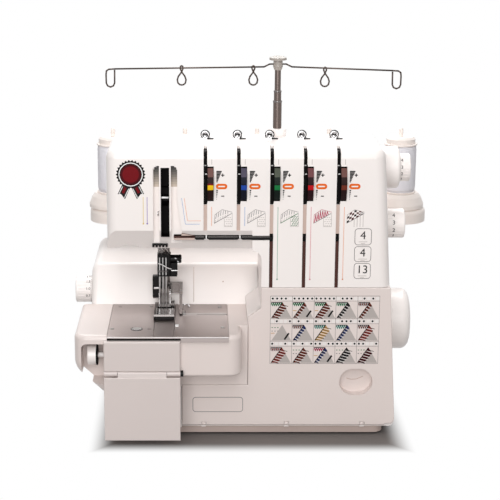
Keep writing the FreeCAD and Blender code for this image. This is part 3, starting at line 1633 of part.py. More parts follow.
def power_switch():
    """Rocker of the power switch, on a pin between two lugs."""
    x0 = switch_x - switch_half_width
    x1 = switch_x + switch_half_width
    h = switch_half_height
    back = switch_axis_y - 2 * switch_pin
    proud = body_back + switch_proud
    rocker = prism_yz([
        (back, inlet_z - h / 2), (body_back, inlet_z - h), (proud, inlet_z - h), (body_back + 1, inlet_z),
        (proud, inlet_z + h), (body_back, inlet_z + h), (back, inlet_z + h / 2),
    ], x0, x1)
    pin = rod_x(x0 - pass_gap - wall, x1 + pass_gap + wall, switch_axis_y, inlet_z, switch_pin)
    return joined([rocker, pin])


def all_pieces():
    """Every piece of the machine under its own name."""
    makers = [
        base_tray, rubber_feet, frame_casting, front_cover, rear_cover, lower_housing, bed_casing,
        looper_door, door_hinge_rod, chip_guard, chip_flap, flap_hinge_pin, cloth_plate_left,
        needle_plate, cloth_plate_right, plate_screws, spool_tray, spool_pins, thread_spools,
        spool_caps, mast_head, guide_wire, top_thread_guides, tension_shaft, needle_bar,
        connecting_rod, needle_clamp, needles, take_up_lever, presser_bar, presser_foot, foot_lever,
        upper_knife, lower_knife, upper_looper, lower_looper, feed_dogs, main_shaft, main_pulleys,
        handwheel, shaft_bushes, arm_shaft, timing_belt, motor, motor_pulley, motor_belt,
        selector_dial, length_dial, differential_dial, width_knob, power_inlet, power_switch,
    ]
    pieces = {maker.__name__: maker() for maker in makers}
    for index in range(slot_count):
        pieces[f"tension_dial_{index + 1}"] = tension_dial(index)
    pieces["mast_lower"] = mast_tube(lower_tube, mast_foot, lower_tube_top)
    pieces["mast_middle"] = mast_tube(middle_tube, middle_tube_top - middle_tube_length, middle_tube_top)
    pieces["mast_upper"] = mast_tube(upper_tube, upper_tube_top - upper_tube_length, upper_tube_top)
    return pieces


def main():
    """Build each piece and write it under its own name."""
    os.makedirs("parts", exist_ok=True)
    for name, shape in all_pieces().items():
        shape.exportStep(f"parts/{name}.step")


if __name__ == "__main__":
    main()
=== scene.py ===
"""Looks of the overlock machine: finishes of its solids, its prints and its small trim."""
import json
import logging
import math
from dataclasses import dataclass
from enum import Enum
from typing import ClassVar, Dict, List, Optional, Sequence, Tuple, Union

import bmesh
import bpy
from mathutils import Matrix, Vector


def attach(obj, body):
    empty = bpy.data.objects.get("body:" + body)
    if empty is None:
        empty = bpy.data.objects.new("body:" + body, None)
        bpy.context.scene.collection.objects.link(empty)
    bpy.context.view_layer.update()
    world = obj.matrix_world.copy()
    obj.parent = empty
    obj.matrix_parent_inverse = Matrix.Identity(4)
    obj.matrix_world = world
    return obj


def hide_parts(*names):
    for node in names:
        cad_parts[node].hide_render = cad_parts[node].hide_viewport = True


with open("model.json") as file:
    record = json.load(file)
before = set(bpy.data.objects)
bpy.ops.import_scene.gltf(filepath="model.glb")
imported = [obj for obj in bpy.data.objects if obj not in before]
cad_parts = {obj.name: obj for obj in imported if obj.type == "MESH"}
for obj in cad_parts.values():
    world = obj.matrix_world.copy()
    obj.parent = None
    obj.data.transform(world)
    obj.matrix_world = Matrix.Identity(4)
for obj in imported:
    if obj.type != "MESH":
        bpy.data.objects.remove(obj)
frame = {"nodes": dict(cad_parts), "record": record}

log = logging.getLogger("looks")
Colour = Tuple[int, int, int]
Flat = Tuple[float, float]
Point = Tuple[float, float, float]

MM = 0.001
PRINT_RISE = 0.12
PRINT_SINK = 0.1
FRONT = -97.0


def linear(colour: Colour) -> Tuple[float, float, float, float]:
    """Display colour as the linear colour that a shader takes.

    Args:
        colour: red, green and blue from 0 to 255.

    Returns:
        Linear red, green, blue and an alpha of 1.
    """
    def channel(value: int) -> float:
        part = value / 255
        return part / 12.92 if part <= 0.04045 else ((part + 0.055) / 1.055) ** 2.4

    red, green, blue = (channel(value) for value in colour)
    return red, green, blue, 1.0


class Value:
    """One shader output that takes part in Python expressions."""

    def __init__(self, graph: "Graph", socket: bpy.types.NodeSocket) -> None:
        """Keeps the socket and its graph."""
        self.graph = graph
        self.socket = socket

    def __add__(self, other: "Operand") -> "Value":
        """Sum with a number or another value."""
        return self.graph.maths("ADD", self, other)

    def __radd__(self, other: float) -> "Value":
        """Sum with a number on the left."""
        return self.graph.maths("ADD", other, self)

    def __sub__(self, other: "Operand") -> "Value":
        """Difference from a number or another value."""
        return self.graph.maths("SUBTRACT", self, other)

    def __rsub__(self, other: float) -> "Value":
        """Number less this value."""
        return self.graph.maths("SUBTRACT", other, self)

    def __mul__(self, other: "Operand") -> "Value":
        """Product with a number or another value."""
        return self.graph.maths("MULTIPLY", self, other)

    def __rmul__(self, other: float) -> "Value":
        """Product with a number on the left."""
        return self.graph.maths("MULTIPLY", other, self)


Operand = Union[Value, float]


class Graph:
    """Node tree of one material or of the world."""

    def __init__(self, tree: bpy.types.NodeTree) -> None:
        """Empties the tree and keeps it."""
        self.tree = tree
        self.tree.nodes.clear()

    def node(self, kind: str, settings: Optional[dict] = None, sockets: Optional[dict] = None) -> bpy.types.Node:
        """Adds a node.

        Args:
            kind: type name of the node.
            settings: properties that are set before its sockets.
            sockets: values or links by socket name or number.

        Returns:
            The new node.
        """
        made = self.tree.nodes.new(kind)
        for name, setting in (settings or {}).items():
            setattr(made, name, setting)
        for key, given in (sockets or {}).items():
            if isinstance(given, Value):
                self.tree.links.new(given.socket, made.inputs[key])
            else:
                made.inputs[key].default_value = given
        return made

    def out(self, made: bpy.types.Node, key: Union[int, str] = 0) -> Value:
        """One output of a node as a value."""
        return Value(self, made.outputs[key])

    def maths(self, operation: str, first: Operand, second: Operand) -> Value:
        """Adds a Math node on two operands and returns its result."""
        return self.out(self.node("ShaderNodeMath", {"operation": operation}, {0: first, 1: second}))

    def place(self, stretch: Point = (1.0, 1.0, 1.0)) -> Value:
        """Object coordinates, stretched along each axis."""
        coordinates = self.out(self.node("ShaderNodeTexCoord"), "Object")
        return self.out(self.node("ShaderNodeMapping", {}, {"Vector": coordinates, "Scale": stretch}))

    def noise(self, place: Value, scale: float, detail: float = 2.0) -> Value:
        """Noise of about 0 to 1 at a scale per metre."""
        settings = {"noise_dimensions": "3D"}
        return self.out(self.node("ShaderNodeTexNoise", settings,
                                  {"Vector": place, "Scale": scale, "Detail": detail}))

    def blend(self, low: Colour, high: Colour, factor: Value) -> Value:
        """Colour between two display colours."""
        mixed = self.node("ShaderNodeMix", {"data_type": "RGBA"}, {0: factor, 6: linear(low), 7: linear(high)})
        return self.out(mixed, 2)


class Grain(Enum):
    """Fine structure of a finish: stretch of its pattern, scale per metre and bump depth in metres."""

    MOULDED = ((1.0, 1.0, 1.0), 1500.0, 0.00004)
    BRUSHED = ((0.02, 1.0, 1.0), 2600.0, 0.00005)
    GROUND = ((1.0, 1.0, 0.03), 2200.0, 0.00003)
    CAST = ((1.0, 1.0, 1.0), 700.0, 0.0003)
    SOFT = ((1.0, 1.0, 1.0), 1100.0, 0.00015)
    WOUND = ((1.0, 1.0, 1.0), 700.0, 0.0002)
    INK = ((1.0, 1.0, 1.0), 2500.0, 0.00001)


@dataclass(frozen=True)
class Finish:
    """One finish: two display colours that it wanders between, and how it shines."""

    name: str
    colour: Colour
    shade: Colour
    roughness: float
    metallic: float = 0.0
    coat: float = 0.0
    grain: Grain = Grain.MOULDED
    bump: float = 0.12
    wander: float = 14.0
    shine: float = 0.5

    made: ClassVar[Dict[str, bpy.types.Material]] = {}

    def material(self) -> bpy.types.Material:
        """The finish as a material, made once."""
        if self.name not in Finish.made:
            Finish.made[self.name] = self.build()
        return Finish.made[self.name]

    def build(self) -> bpy.types.Material:
        """Makes the material with its colour, roughness and fine relief.

        Returns:
            A material of nodes on Object coordinates.
        """
        stretch, scale, depth = self.grain.value
        material = bpy.data.materials.new(self.name)
        material.use_nodes = True
        graph = Graph(material.node_tree)
        cloud = graph.noise(graph.place(), self.wander, 4.0)
        fine = graph.noise(graph.place(stretch), scale, 3.0)
        relief = fine
        if self.grain is Grain.WOUND:
            settings = {"wave_type": "BANDS", "bands_direction": "Z"}
            turns = graph.out(graph.node("ShaderNodeTexWave", settings, {
                "Vector": graph.place(), "Scale": scale, "Distortion": 1.4, "Detail": 2.0}), "Fac")
            relief = turns * 0.8 + fine * 0.2
            cloud = cloud * 0.5 + turns * 0.5
        lean = cloud * 0.75 + fine * 0.25
        bump = graph.node("ShaderNodeBump", {}, {"Strength": self.bump, "Distance": depth, "Height": relief})
        roughness = (fine + cloud) * 0.12 + (self.roughness - 0.12)
        shader = graph.node("ShaderNodeBsdfPrincipled", {}, {
            "Base Color": graph.blend(self.colour, self.shade, lean),
            "Roughness": roughness,
            "Metallic": self.metallic,
            "Specular IOR Level": 0.08 if self.grain is Grain.INK else self.shine,
            "Coat Weight": self.coat,
            "Coat Roughness": 0.12,
            "Normal": graph.out(bump),
        })
        graph.node("ShaderNodeOutputMaterial", {}, {"Surface": graph.out(shader)})
        return material


SHELL = Finish("casing_white", (250, 244, 241), (245, 237, 233), 0.34, coat=0.22)
# Painted shade: darker, pinker copies of the casing white for the lower front (door, bed, guard, flap), standing in for
# the lower front getting less light.
SHADED_SHELL = Finish("casing_painted_shade", (231, 219, 214), (224, 211, 206), 0.36, coat=0.18)
SHADED_GUARD = Finish("guard_painted_shade", (219, 208, 204), (212, 200, 196), 0.38, coat=0.16)
BAND = Finish("groove_beige", (205, 184, 174), (190, 166, 155), 0.5)
UMBER = Finish("groove_brown", (84, 52, 46), (58, 32, 28), 0.5, shine=0.15)
BASE = Finish("plinth_grey", (196, 178, 170), (178, 160, 152), 0.5)
RUBBER = Finish("foot_rubber", (34, 34, 35), (24, 24, 25), 0.78, grain=Grain.SOFT, bump=0.3)
CASTING = Finish("cast_frame", (168, 168, 170), (140, 140, 143), 0.5, 0.9, grain=Grain.CAST, bump=0.35)
PLATE = Finish("brushed_plate", (174, 163, 160), (152, 142, 139), 0.38, 1.0, grain=Grain.BRUSHED, bump=0.3)
STEEL = Finish("ground_steel", (190, 188, 187), (160, 158, 157), 0.3, 1.0, grain=Grain.GROUND, bump=0.2)
BRIGHT = Finish("plated_bright", (226, 225, 225), (204, 203, 204), 0.16, 1.0, grain=Grain.GROUND, bump=0.08)
TUBE = Finish("mast_tube", (116, 104, 99), (88, 78, 74), 0.3, 1.0, grain=Grain.GROUND, bump=0.1)
WIRE = Finish("guide_wire", (92, 82, 77), (66, 58, 54), 0.34, 1.0, grain=Grain.GROUND, bump=0.1)
# Painted reflection: plated chrome made darker than BRIGHT, standing in for the dim room that plated parts reflect.
CHROME = Finish("chrome_painted_dark_reflection", (132, 127, 125), (92, 88, 87), 0.24, 1.0, grain=Grain.GROUND, bump=0.08)
BLACK = Finish("blackened_metal", (16, 14, 14), (8, 7, 7), 0.36, coat=0.04, grain=Grain.CAST, bump=0.1, shine=0.12)
# Flat black: painted shadow inside the thread and take-up slots and in the gap under the cloth plates, and small dark
# parts elsewhere.
DARK = Finish("slot_black", (12, 9, 9), (6, 4, 4), 0.5, shine=0.06)
BRONZE = Finish("sintered_bronze", (176, 136, 78), (150, 112, 62), 0.42, 1.0, grain=Grain.CAST)
BELT = Finish("ribbed_belt", (32, 31, 31), (20, 20, 20), 0.7, grain=Grain.SOFT, bump=0.4)
TRAY = Finish("cream_tray", (250, 241, 235), (243, 232, 225), 0.38, coat=0.16)
THREAD = Finish("wound_thread", (252, 251, 255), (240, 238, 246), 0.62, grain=Grain.WOUND, bump=0.6)
INLET = Finish("inlet_black", (24, 24, 25), (14, 14, 15), 0.5, grain=Grain.SOFT, bump=0.2)
HEAD = Finish("mast_head_grey", (176, 168, 160), (150, 142, 135), 0.42, coat=0.1)

INK_BLACK = Finish("ink_black", (38, 35, 36), (24, 22, 23), 0.5, grain=Grain.INK)
INK_GREY = Finish("ink_grey", (140, 134, 134), (122, 117, 117), 0.5, grain=Grain.INK)
INK_PALE = Finish("ink_pale_grey", (190, 182, 178), (178, 170, 166), 0.5, grain=Grain.INK)
INK_WHITE = Finish("ink_white", (250, 249, 248), (242, 241, 240), 0.45, grain=Grain.INK)
INK_ORANGE = Finish("ink_orange", (240, 116, 36), (228, 98, 24), 0.45, grain=Grain.INK)
INK_YELLOW = Finish("ink_yellow", (250, 206, 40), (240, 186, 24), 0.45, grain=Grain.INK)
INK_BLUE = Finish("ink_blue", (44, 84, 176), (30, 62, 150), 0.45, grain=Grain.INK)
INK_VIOLET = Finish("ink_violet", (150, 120, 190), (130, 100, 172), 0.45, grain=Grain.INK)
INK_GREEN = Finish("ink_green", (34, 128, 70), (22, 104, 54), 0.45, grain=Grain.INK)
INK_RED = Finish("ink_red", (206, 30, 36), (176, 18, 26), 0.45, grain=Grain.INK)
INK_CRIMSON = Finish("ink_crimson", (196, 44, 92), (170, 28, 70), 0.45, grain=Grain.INK)
INK_MAROON = Finish("ink_maroon", (128, 20, 28), (100, 12, 20), 0.45, grain=Grain.INK)
INK_WINE = Finish("ink_wine", (82, 12, 20), (62, 8, 14), 0.45, grain=Grain.INK)
INK_TAN = Finish("ink_tan", (206, 166, 110), (190, 146, 90), 0.5, grain=Grain.INK)
INK_STRAW = Finish("ink_straw", (230, 206, 134), (222, 194, 116), 0.5, grain=Grain.INK)
INK_PEACH = Finish("ink_peach", (238, 178, 150), (230, 162, 132), 0.5, grain=Grain.INK)
INK_ROSE = Finish("ink_rose", (226, 160, 170), (216, 142, 154), 0.5, grain=Grain.INK)
INK_SAGE = Finish("ink_sage", (150, 186, 166), (130, 170, 148), 0.5, grain=Grain.INK)
INK_SKY = Finish("ink_sky", (160, 180, 218), (142, 164, 206), 0.5, grain=Grain.INK)
INK_BROWN = Finish("ink_red_brown", (124, 58, 42), (96, 40, 28), 0.5, grain=Grain.INK)
INK_TEAL = Finish("ink_teal", (70, 146, 132), (50, 122, 110), 0.5, grain=Grain.INK)
INK_NAVY = Finish("ink_navy", (48, 60, 112), (34, 44, 88), 0.5, grain=Grain.INK)
INK_RUST = Finish("ink_rust", (152, 66, 58), (126, 48, 42), 0.5, grain=Grain.INK)
INK_CHART = Finish("ink_chart", (240, 234, 231), (234, 228, 225), 0.5, grain=Grain.INK)

SLOT_FINISH: Dict[str, Finish] = {
    "shell": SHELL, "base": BASE, "rubber": RUBBER, "casting": CASTING, "plate": PLATE, "steel": STEEL,
    "bright": BRIGHT, "black_metal": BLACK, "dial_dark": DARK, "bush": BRONZE, "belt": BELT, "tray": TRAY,
    "thread": THREAD, "inlet": INLET,
}


class Axis(Enum):
    """Direction that a turned shape or a disc points along."""

    X = (1.0, 0.0, 0.0)
    Y = (0.0, 1.0, 0.0)
    Z = (0.0, 0.0, 1.0)

    def turn(self) -> Matrix:
        """Rotation from Z to this axis."""
        return Vector((0.0, 0.0, 1.0)).rotation_difference(Vector(self.value)).to_matrix().to_4x4()


class Piece:
    """One mesh under way, in millimetres of the row frame, that ends as an object in metres."""

    def __init__(self, name: str, body: str, slot: str) -> None:
        """Starts an empty mesh.

        Args:
            name: name of the finished object.
            body: body that it rides on.
            slot: material slot of the record; not used.
        """
        self.name = name
        self.body = body
        self.slot = slot
        self.mesh = bmesh.new()
        self.finishes: List[Finish] = []

    def dress(self, faces: Sequence[bmesh.types.BMFace], finish: Finish, smooth: bool = False) -> None:
        """Gives faces a finish."""
        if finish not in self.finishes:
            self.finishes.append(finish)
        for face in faces:
            face.material_index = self.finishes.index(finish)
            face.smooth = smooth

    def dress_around(self, verts: Sequence[bmesh.types.BMVert], finish: Finish, smooth: bool = False) -> None:
        """Gives the faces on some vertices a finish."""
        self.dress(list({face for vert in verts for face in vert.link_faces}), finish, smooth)

    def block(self, low: Point, high: Point, finish: Finish, bevel: float = 0.0, lean: float = 0.0) -> None:
        """Block between two corners.

        Args:
            low: lowest corner.
            high: highest corner.
            finish: finish of its faces.
            bevel: radius of its edges, or 0.
            lean: turn about Y through its middle, in degrees.
        """
        middle = (Vector(low) + Vector(high)) / 2
        size = Vector(high) - Vector(low)
        place = Matrix.Translation(middle) @ Matrix.Rotation(math.radians(lean), 4, "Y") @ Matrix.Diagonal((*size, 1))
        made = bmesh.ops.create_cube(self.mesh, size=1.0, matrix=place)["verts"]
        self.dress_around(made, finish)
        if bevel:
            edges = list({edge for vert in made for edge in vert.link_edges})
            bmesh.ops.bevel(self.mesh, geom=edges, offset=bevel, offset_type="OFFSET", segments=2, profile=0.5,
                            affect="EDGES", material=-1)

    def line(self, start: Flat, end: Flat, width: float, finish: Finish, face: float = FRONT,
             rise: float = PRINT_RISE) -> None:
        """Printed line on a face that looks to the front.

        Args:
            start: first end in X and Z.
            end: other end.
            width: width of the line.
            finish: its ink.
            face: depth of the face that carries it.
            rise: how far it stands out of that face.
        """
        run = Vector((end[0] - start[0], 0.0, end[1] - start[1]))
        middle = Vector(((start[0] + end[0]) / 2, face + (PRINT_SINK - rise) / 2, (start[1] + end[1]) / 2))
        size = (run.length, rise + PRINT_SINK, width, 1.0)
        turn = Matrix.Rotation(-math.atan2(run.z, run.x), 4, "Y")
        made = bmesh.ops.create_cube(self.mesh, size=1.0, matrix=Matrix.Translation(middle) @ turn
                                     @ Matrix.Diagonal(size))["verts"]
        self.dress_around(made, finish)

    def path(self, points: Sequence[Flat], width: float, finish: Finish, face: float = FRONT,
             rise: float = PRINT_RISE) -> None:
        """Printed line through several points."""
        for start, end in zip(points, points[1:]):
            self.line(start, end, width, finish, face, rise)

    def patch(self, outline: Sequence[Flat], finish: Finish, face: float = FRONT, rise: float = PRINT_RISE) -> None:
        """Printed area with straight edges.

        Args:
            outline: corners in X and Z.
            finish: its ink.
            face: depth of the face that carries it.
            rise: how far it stands out of that face.
        """
        corners = [self.mesh.verts.new((x, face + PRINT_SINK, z)) for x, z in outline]
        flat = self.mesh.faces.new(corners)
        made = bmesh.ops.extrude_face_region(self.mesh, geom=[flat])["geom"]
        raised = [item for item in made if isinstance(item, bmesh.types.BMVert)]
        bmesh.ops.translate(self.mesh, verts=raised, vec=(0.0, -rise - PRINT_SINK, 0.0))
        self.dress_around(corners + raised, finish)

    def outline(self, low: Flat, high: Flat, corner: float, width: float, finish: Finish,
                rise: float = PRINT_RISE) -> None:
        """Printed rounded frame.

        Args:
            low: lowest corner in X and Z.
            high: highest corner.
            corner: radius of its corners.
            width: width of the line.
            finish: its ink.
            rise: how far it stands out of the front.
        """
        outer = rounded_corners(low, high, corner)
        inner = rounded_corners((low[0] + width, low[1] + width), (high[0] - width, high[1] - width), corner - width)
        for step, start in enumerate(outer):
            after = (step + 1) % len(outer)
            self.patch([start, outer[after], inner[after], inner[step]], finish, rise=rise)

    def disc(self, centre: Point, radius: float, depth: float, axis: Axis, finish: Finish, sides: int = 24,
             tip: Optional[float] = None) -> None:
        """Round disc or short cone about its centre.

        Args:
            centre: middle of the disc.
            radius: radius at the low end of its axis.
            depth: length along the axis.
            axis: direction of the axis.
            finish: finish of its faces.
            sides: count of its sides.
            tip: radius at the other end, or the same.
        """
        made = bmesh.ops.create_cone(self.mesh, cap_ends=True, segments=sides, radius1=radius,
                                     radius2=radius if tip is None else tip, depth=depth,
                                     matrix=Matrix.Translation(centre) @ axis.turn())["verts"]
        self.dress_around(made, finish)
        for face in {face for vert in made for face in vert.link_faces}:
            face.smooth = len(face.verts) == 4

    def dot(self, x: float, z: float, radius: float, finish: Finish, face: float = FRONT,
            rise: float = PRINT_RISE) -> None:
        """Printed dot on a face that looks to the front."""
        middle = (x, face + (PRINT_SINK - rise) / 2, z)
        self.disc(middle, radius, rise + PRINT_SINK, Axis.Y, finish, 20)

    def rod(self, start: Point, end: Point, radius: float, finish: Finish, sides: int = 12) -> None:
        """Round bar between two points."""
        run = Vector(end) - Vector(start)
        turn = Vector((0.0, 0.0, 1.0)).rotation_difference(run).to_matrix().to_4x4()
        made = bmesh.ops.create_cone(self.mesh, cap_ends=True, segments=sides, radius1=radius, radius2=radius,
                                     depth=run.length, matrix=Matrix.Translation((Vector(start) + Vector(end)) / 2)
                                     @ turn)["verts"]
        self.dress_around(made, finish)
        for face in {face for vert in made for face in vert.link_faces}:
            face.smooth = len(face.verts) == 4

    def wire(self, points: Sequence[Point], radius: float, finish: Finish) -> None:
        """Bent wire through several points, with a bead at each bend."""
        for start, end in zip(points, points[1:]):
            self.rod(start, end, radius, finish, 10)
        for bend in points[1:-1]:
            made = bmesh.ops.create_uvsphere(self.mesh, u_segments=10, v_segments=6, radius=radius,
                                             matrix=Matrix.Translation(bend))["verts"]
            self.dress_around(made, finish, True)

    def turned(self, profile: Sequence[Flat], centre: Point, axis: Axis, finish: Finish, steps: int = 48) -> None:
        """Closed outline of radius and height, spun about an axis.

        Args:
            profile: radius and height of each corner.
            centre: point of the axis at height 0.
            axis: direction of the axis.
            finish: finish of its faces.
            steps: steps of the full turn.
        """
        place = Matrix.Translation(centre) @ axis.turn()
        corners = [self.mesh.verts.new(place @ Vector((radius, 0.0, height))) for radius, height in profile]
        edges = [self.mesh.edges.new(pair) for pair in zip(corners, corners[1:] + corners[:1])]
        before = set(self.mesh.faces)
        bmesh.ops.spin(self.mesh, geom=corners + edges, cent=centre, axis=Vector(axis.value),
                       dvec=(0.0, 0.0, 0.0), angle=2 * math.pi, steps=steps, use_merge=True, use_duplicate=False)
        self.dress([face for face in self.mesh.faces if face not in before], finish, True)

    def ring(self, centre: Point, axis: Axis, radius: float, wire: float, finish: Finish, steps: int = 36) -> None:
        """Ring of round wire about an axis."""
        count = 10
        profile = [(radius + wire * math.cos(2 * math.pi * step / count), wire * math.sin(2 * math.pi * step / count))
                   for step in range(count)]
        self.turned(profile, centre, axis, finish, steps)

    def ribbon(self, path: Sequence[Flat], left: float, right: float, thickness: float, finish: Finish) -> None:
        """Thin sheet that follows a path in Y and Z.

        Args:
            path: points in Y and Z.
            left: X of its left edge.
            right: X of its right edge.
            thickness: thickness of the sheet, to the inside of the path.
            finish: finish of its faces.
        """
        before = set(self.mesh.faces)
        verts = [self.mesh.verts.new((left, y, z)) for y, z in path]
        edges = [self.mesh.edges.new(pair) for pair in zip(verts, verts[1:])]
        made = bmesh.ops.extrude_edge_only(self.mesh, edges=edges)["geom"]
        moved = [item for item in made if isinstance(item, bmesh.types.BMVert)]
        bmesh.ops.translate(self.mesh, verts=moved, vec=(right - left, 0.0, 0.0))
        sheet = [face for face in self.mesh.faces if face not in before]
        bmesh.ops.recalc_face_normals(self.mesh, faces=sheet)
        bmesh.ops.solidify(self.mesh, geom=sheet, thickness=thickness)
        self.dress([face for face in self.mesh.faces if face not in before], finish, False)

    def figure(self, text: str, height: float, place: Matrix, finish: Finish) -> None:
        """Plain numerals.

        Args:
            text: the numerals.
            height: height of a numeral.
            place: place of their middle; they read along +X and face -Y before it.
            finish: their ink.
        """
        curve = bpy.data.curves.new("figure", "FONT")
        curve.body = text
        curve.align_x = "CENTER"
        curve.align_y = "CENTER"
        curve.size = height / 0.72
        curve.extrude = PRINT_RISE
        holder = bpy.data.objects.new("figure", curve)
        bpy.context.scene.collection.objects.link(holder)
        bpy.context.view_layer.update()
        flat = bpy.data.meshes.new_from_object(holder.evaluated_get(bpy.context.evaluated_depsgraph_get()))
        before = set(self.mesh.faces)
        flat.transform(place @ Matrix.Rotation(math.pi / 2, 4, "X"))
        self.mesh.from_mesh(flat)
        self.dress([face for face in self.mesh.faces if face not in before], finish)
        bpy.data.objects.remove(holder)
        bpy.data.curves.remove(curve)
        bpy.data.meshes.remove(flat)

    def done(self, *replaced: str) -> bpy.types.Object:
        """Ends the mesh as an object on its body.

        Args:
            replaced: solids that it stands for.

        Returns:
            The object, at the origin.
        """
        bmesh.ops.recalc_face_normals(self.mesh, faces=self.mesh.faces)
        bmesh.ops.scale(self.mesh, vec=(MM, MM, MM), verts=self.mesh.verts)
        data = bpy.data.meshes.new(self.name)
        self.mesh.to_mesh(data)
        self.mesh.free()
        for finish in self.finishes:
            data.materials.append(finish.material())
        made = bpy.data.objects.new(self.name, data)
        bpy.context.scene.collection.objects.link(made)
        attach(made, self.body)
        if replaced:
            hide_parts(*replaced)
        log.info("%s rides on %s with %d faces", self.name, self.body, len(data.polygons))
        return made


def rounded_corners(low: Flat, high: Flat, corner: float, steps: int = 5) -> List[Flat]:
    """Corners of a rounded rectangle in X and Z.

    Args:
        low: lowest corner.
        high: highest corner.
        corner: radius of the corners.
        steps: steps of each quarter.

    Returns:
        Points in order round the rectangle.
    """
    middles = ((high[0] - corner, high[1] - corner, 0), (low[0] + corner, high[1] - corner, 1),
               (low[0] + corner, low[1] + corner, 2), (high[0] - corner, low[1] + corner, 3))
    points = []
    for x, z, quarter in middles:
        for step in range(steps + 1):
            angle = math.pi / 2 * (quarter + step / steps)
            points.append((x + corner * math.cos(angle), z + corner * math.sin(angle)))
    return points


@dataclass
class Solids:
    """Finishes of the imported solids."""

    # The door, bed, guard and flap take the darker casing copies (painted shade); the bars, foot and knife take the
    # darker chrome (painted reflection).
    special: ClassVar[Dict[str, Finish]] = {
        "mast_head": HEAD, "take_up_lever": BLACK, "looper_door": SHADED_SHELL, "chip_guard": SHADED_GUARD,
        "chip_flap": SHADED_GUARD, "bed_casing": SHADED_SHELL, "needle_bar": CHROME, "presser_bar": CHROME,
        "presser_foot": CHROME, "upper_knife": CHROME, "needles": STEEL, "guide_wire": WIRE, "mast_lower": TUBE,
        "mast_middle": TUBE, "mast_upper": TUBE}

    def dress(self) -> None:
        """Gives every solid the finish of its slot, or its own."""
        for part in frame["record"]["subparts"]:
            finish = self.special.get(part["node"], SLOT_FINISH[part["material_slot"]])
            data = frame["nodes"][part["node"]].data
            data.materials.clear()
            data.materials.append(finish.material())
            log.info("%s is in %s", part["node"], finish.name)


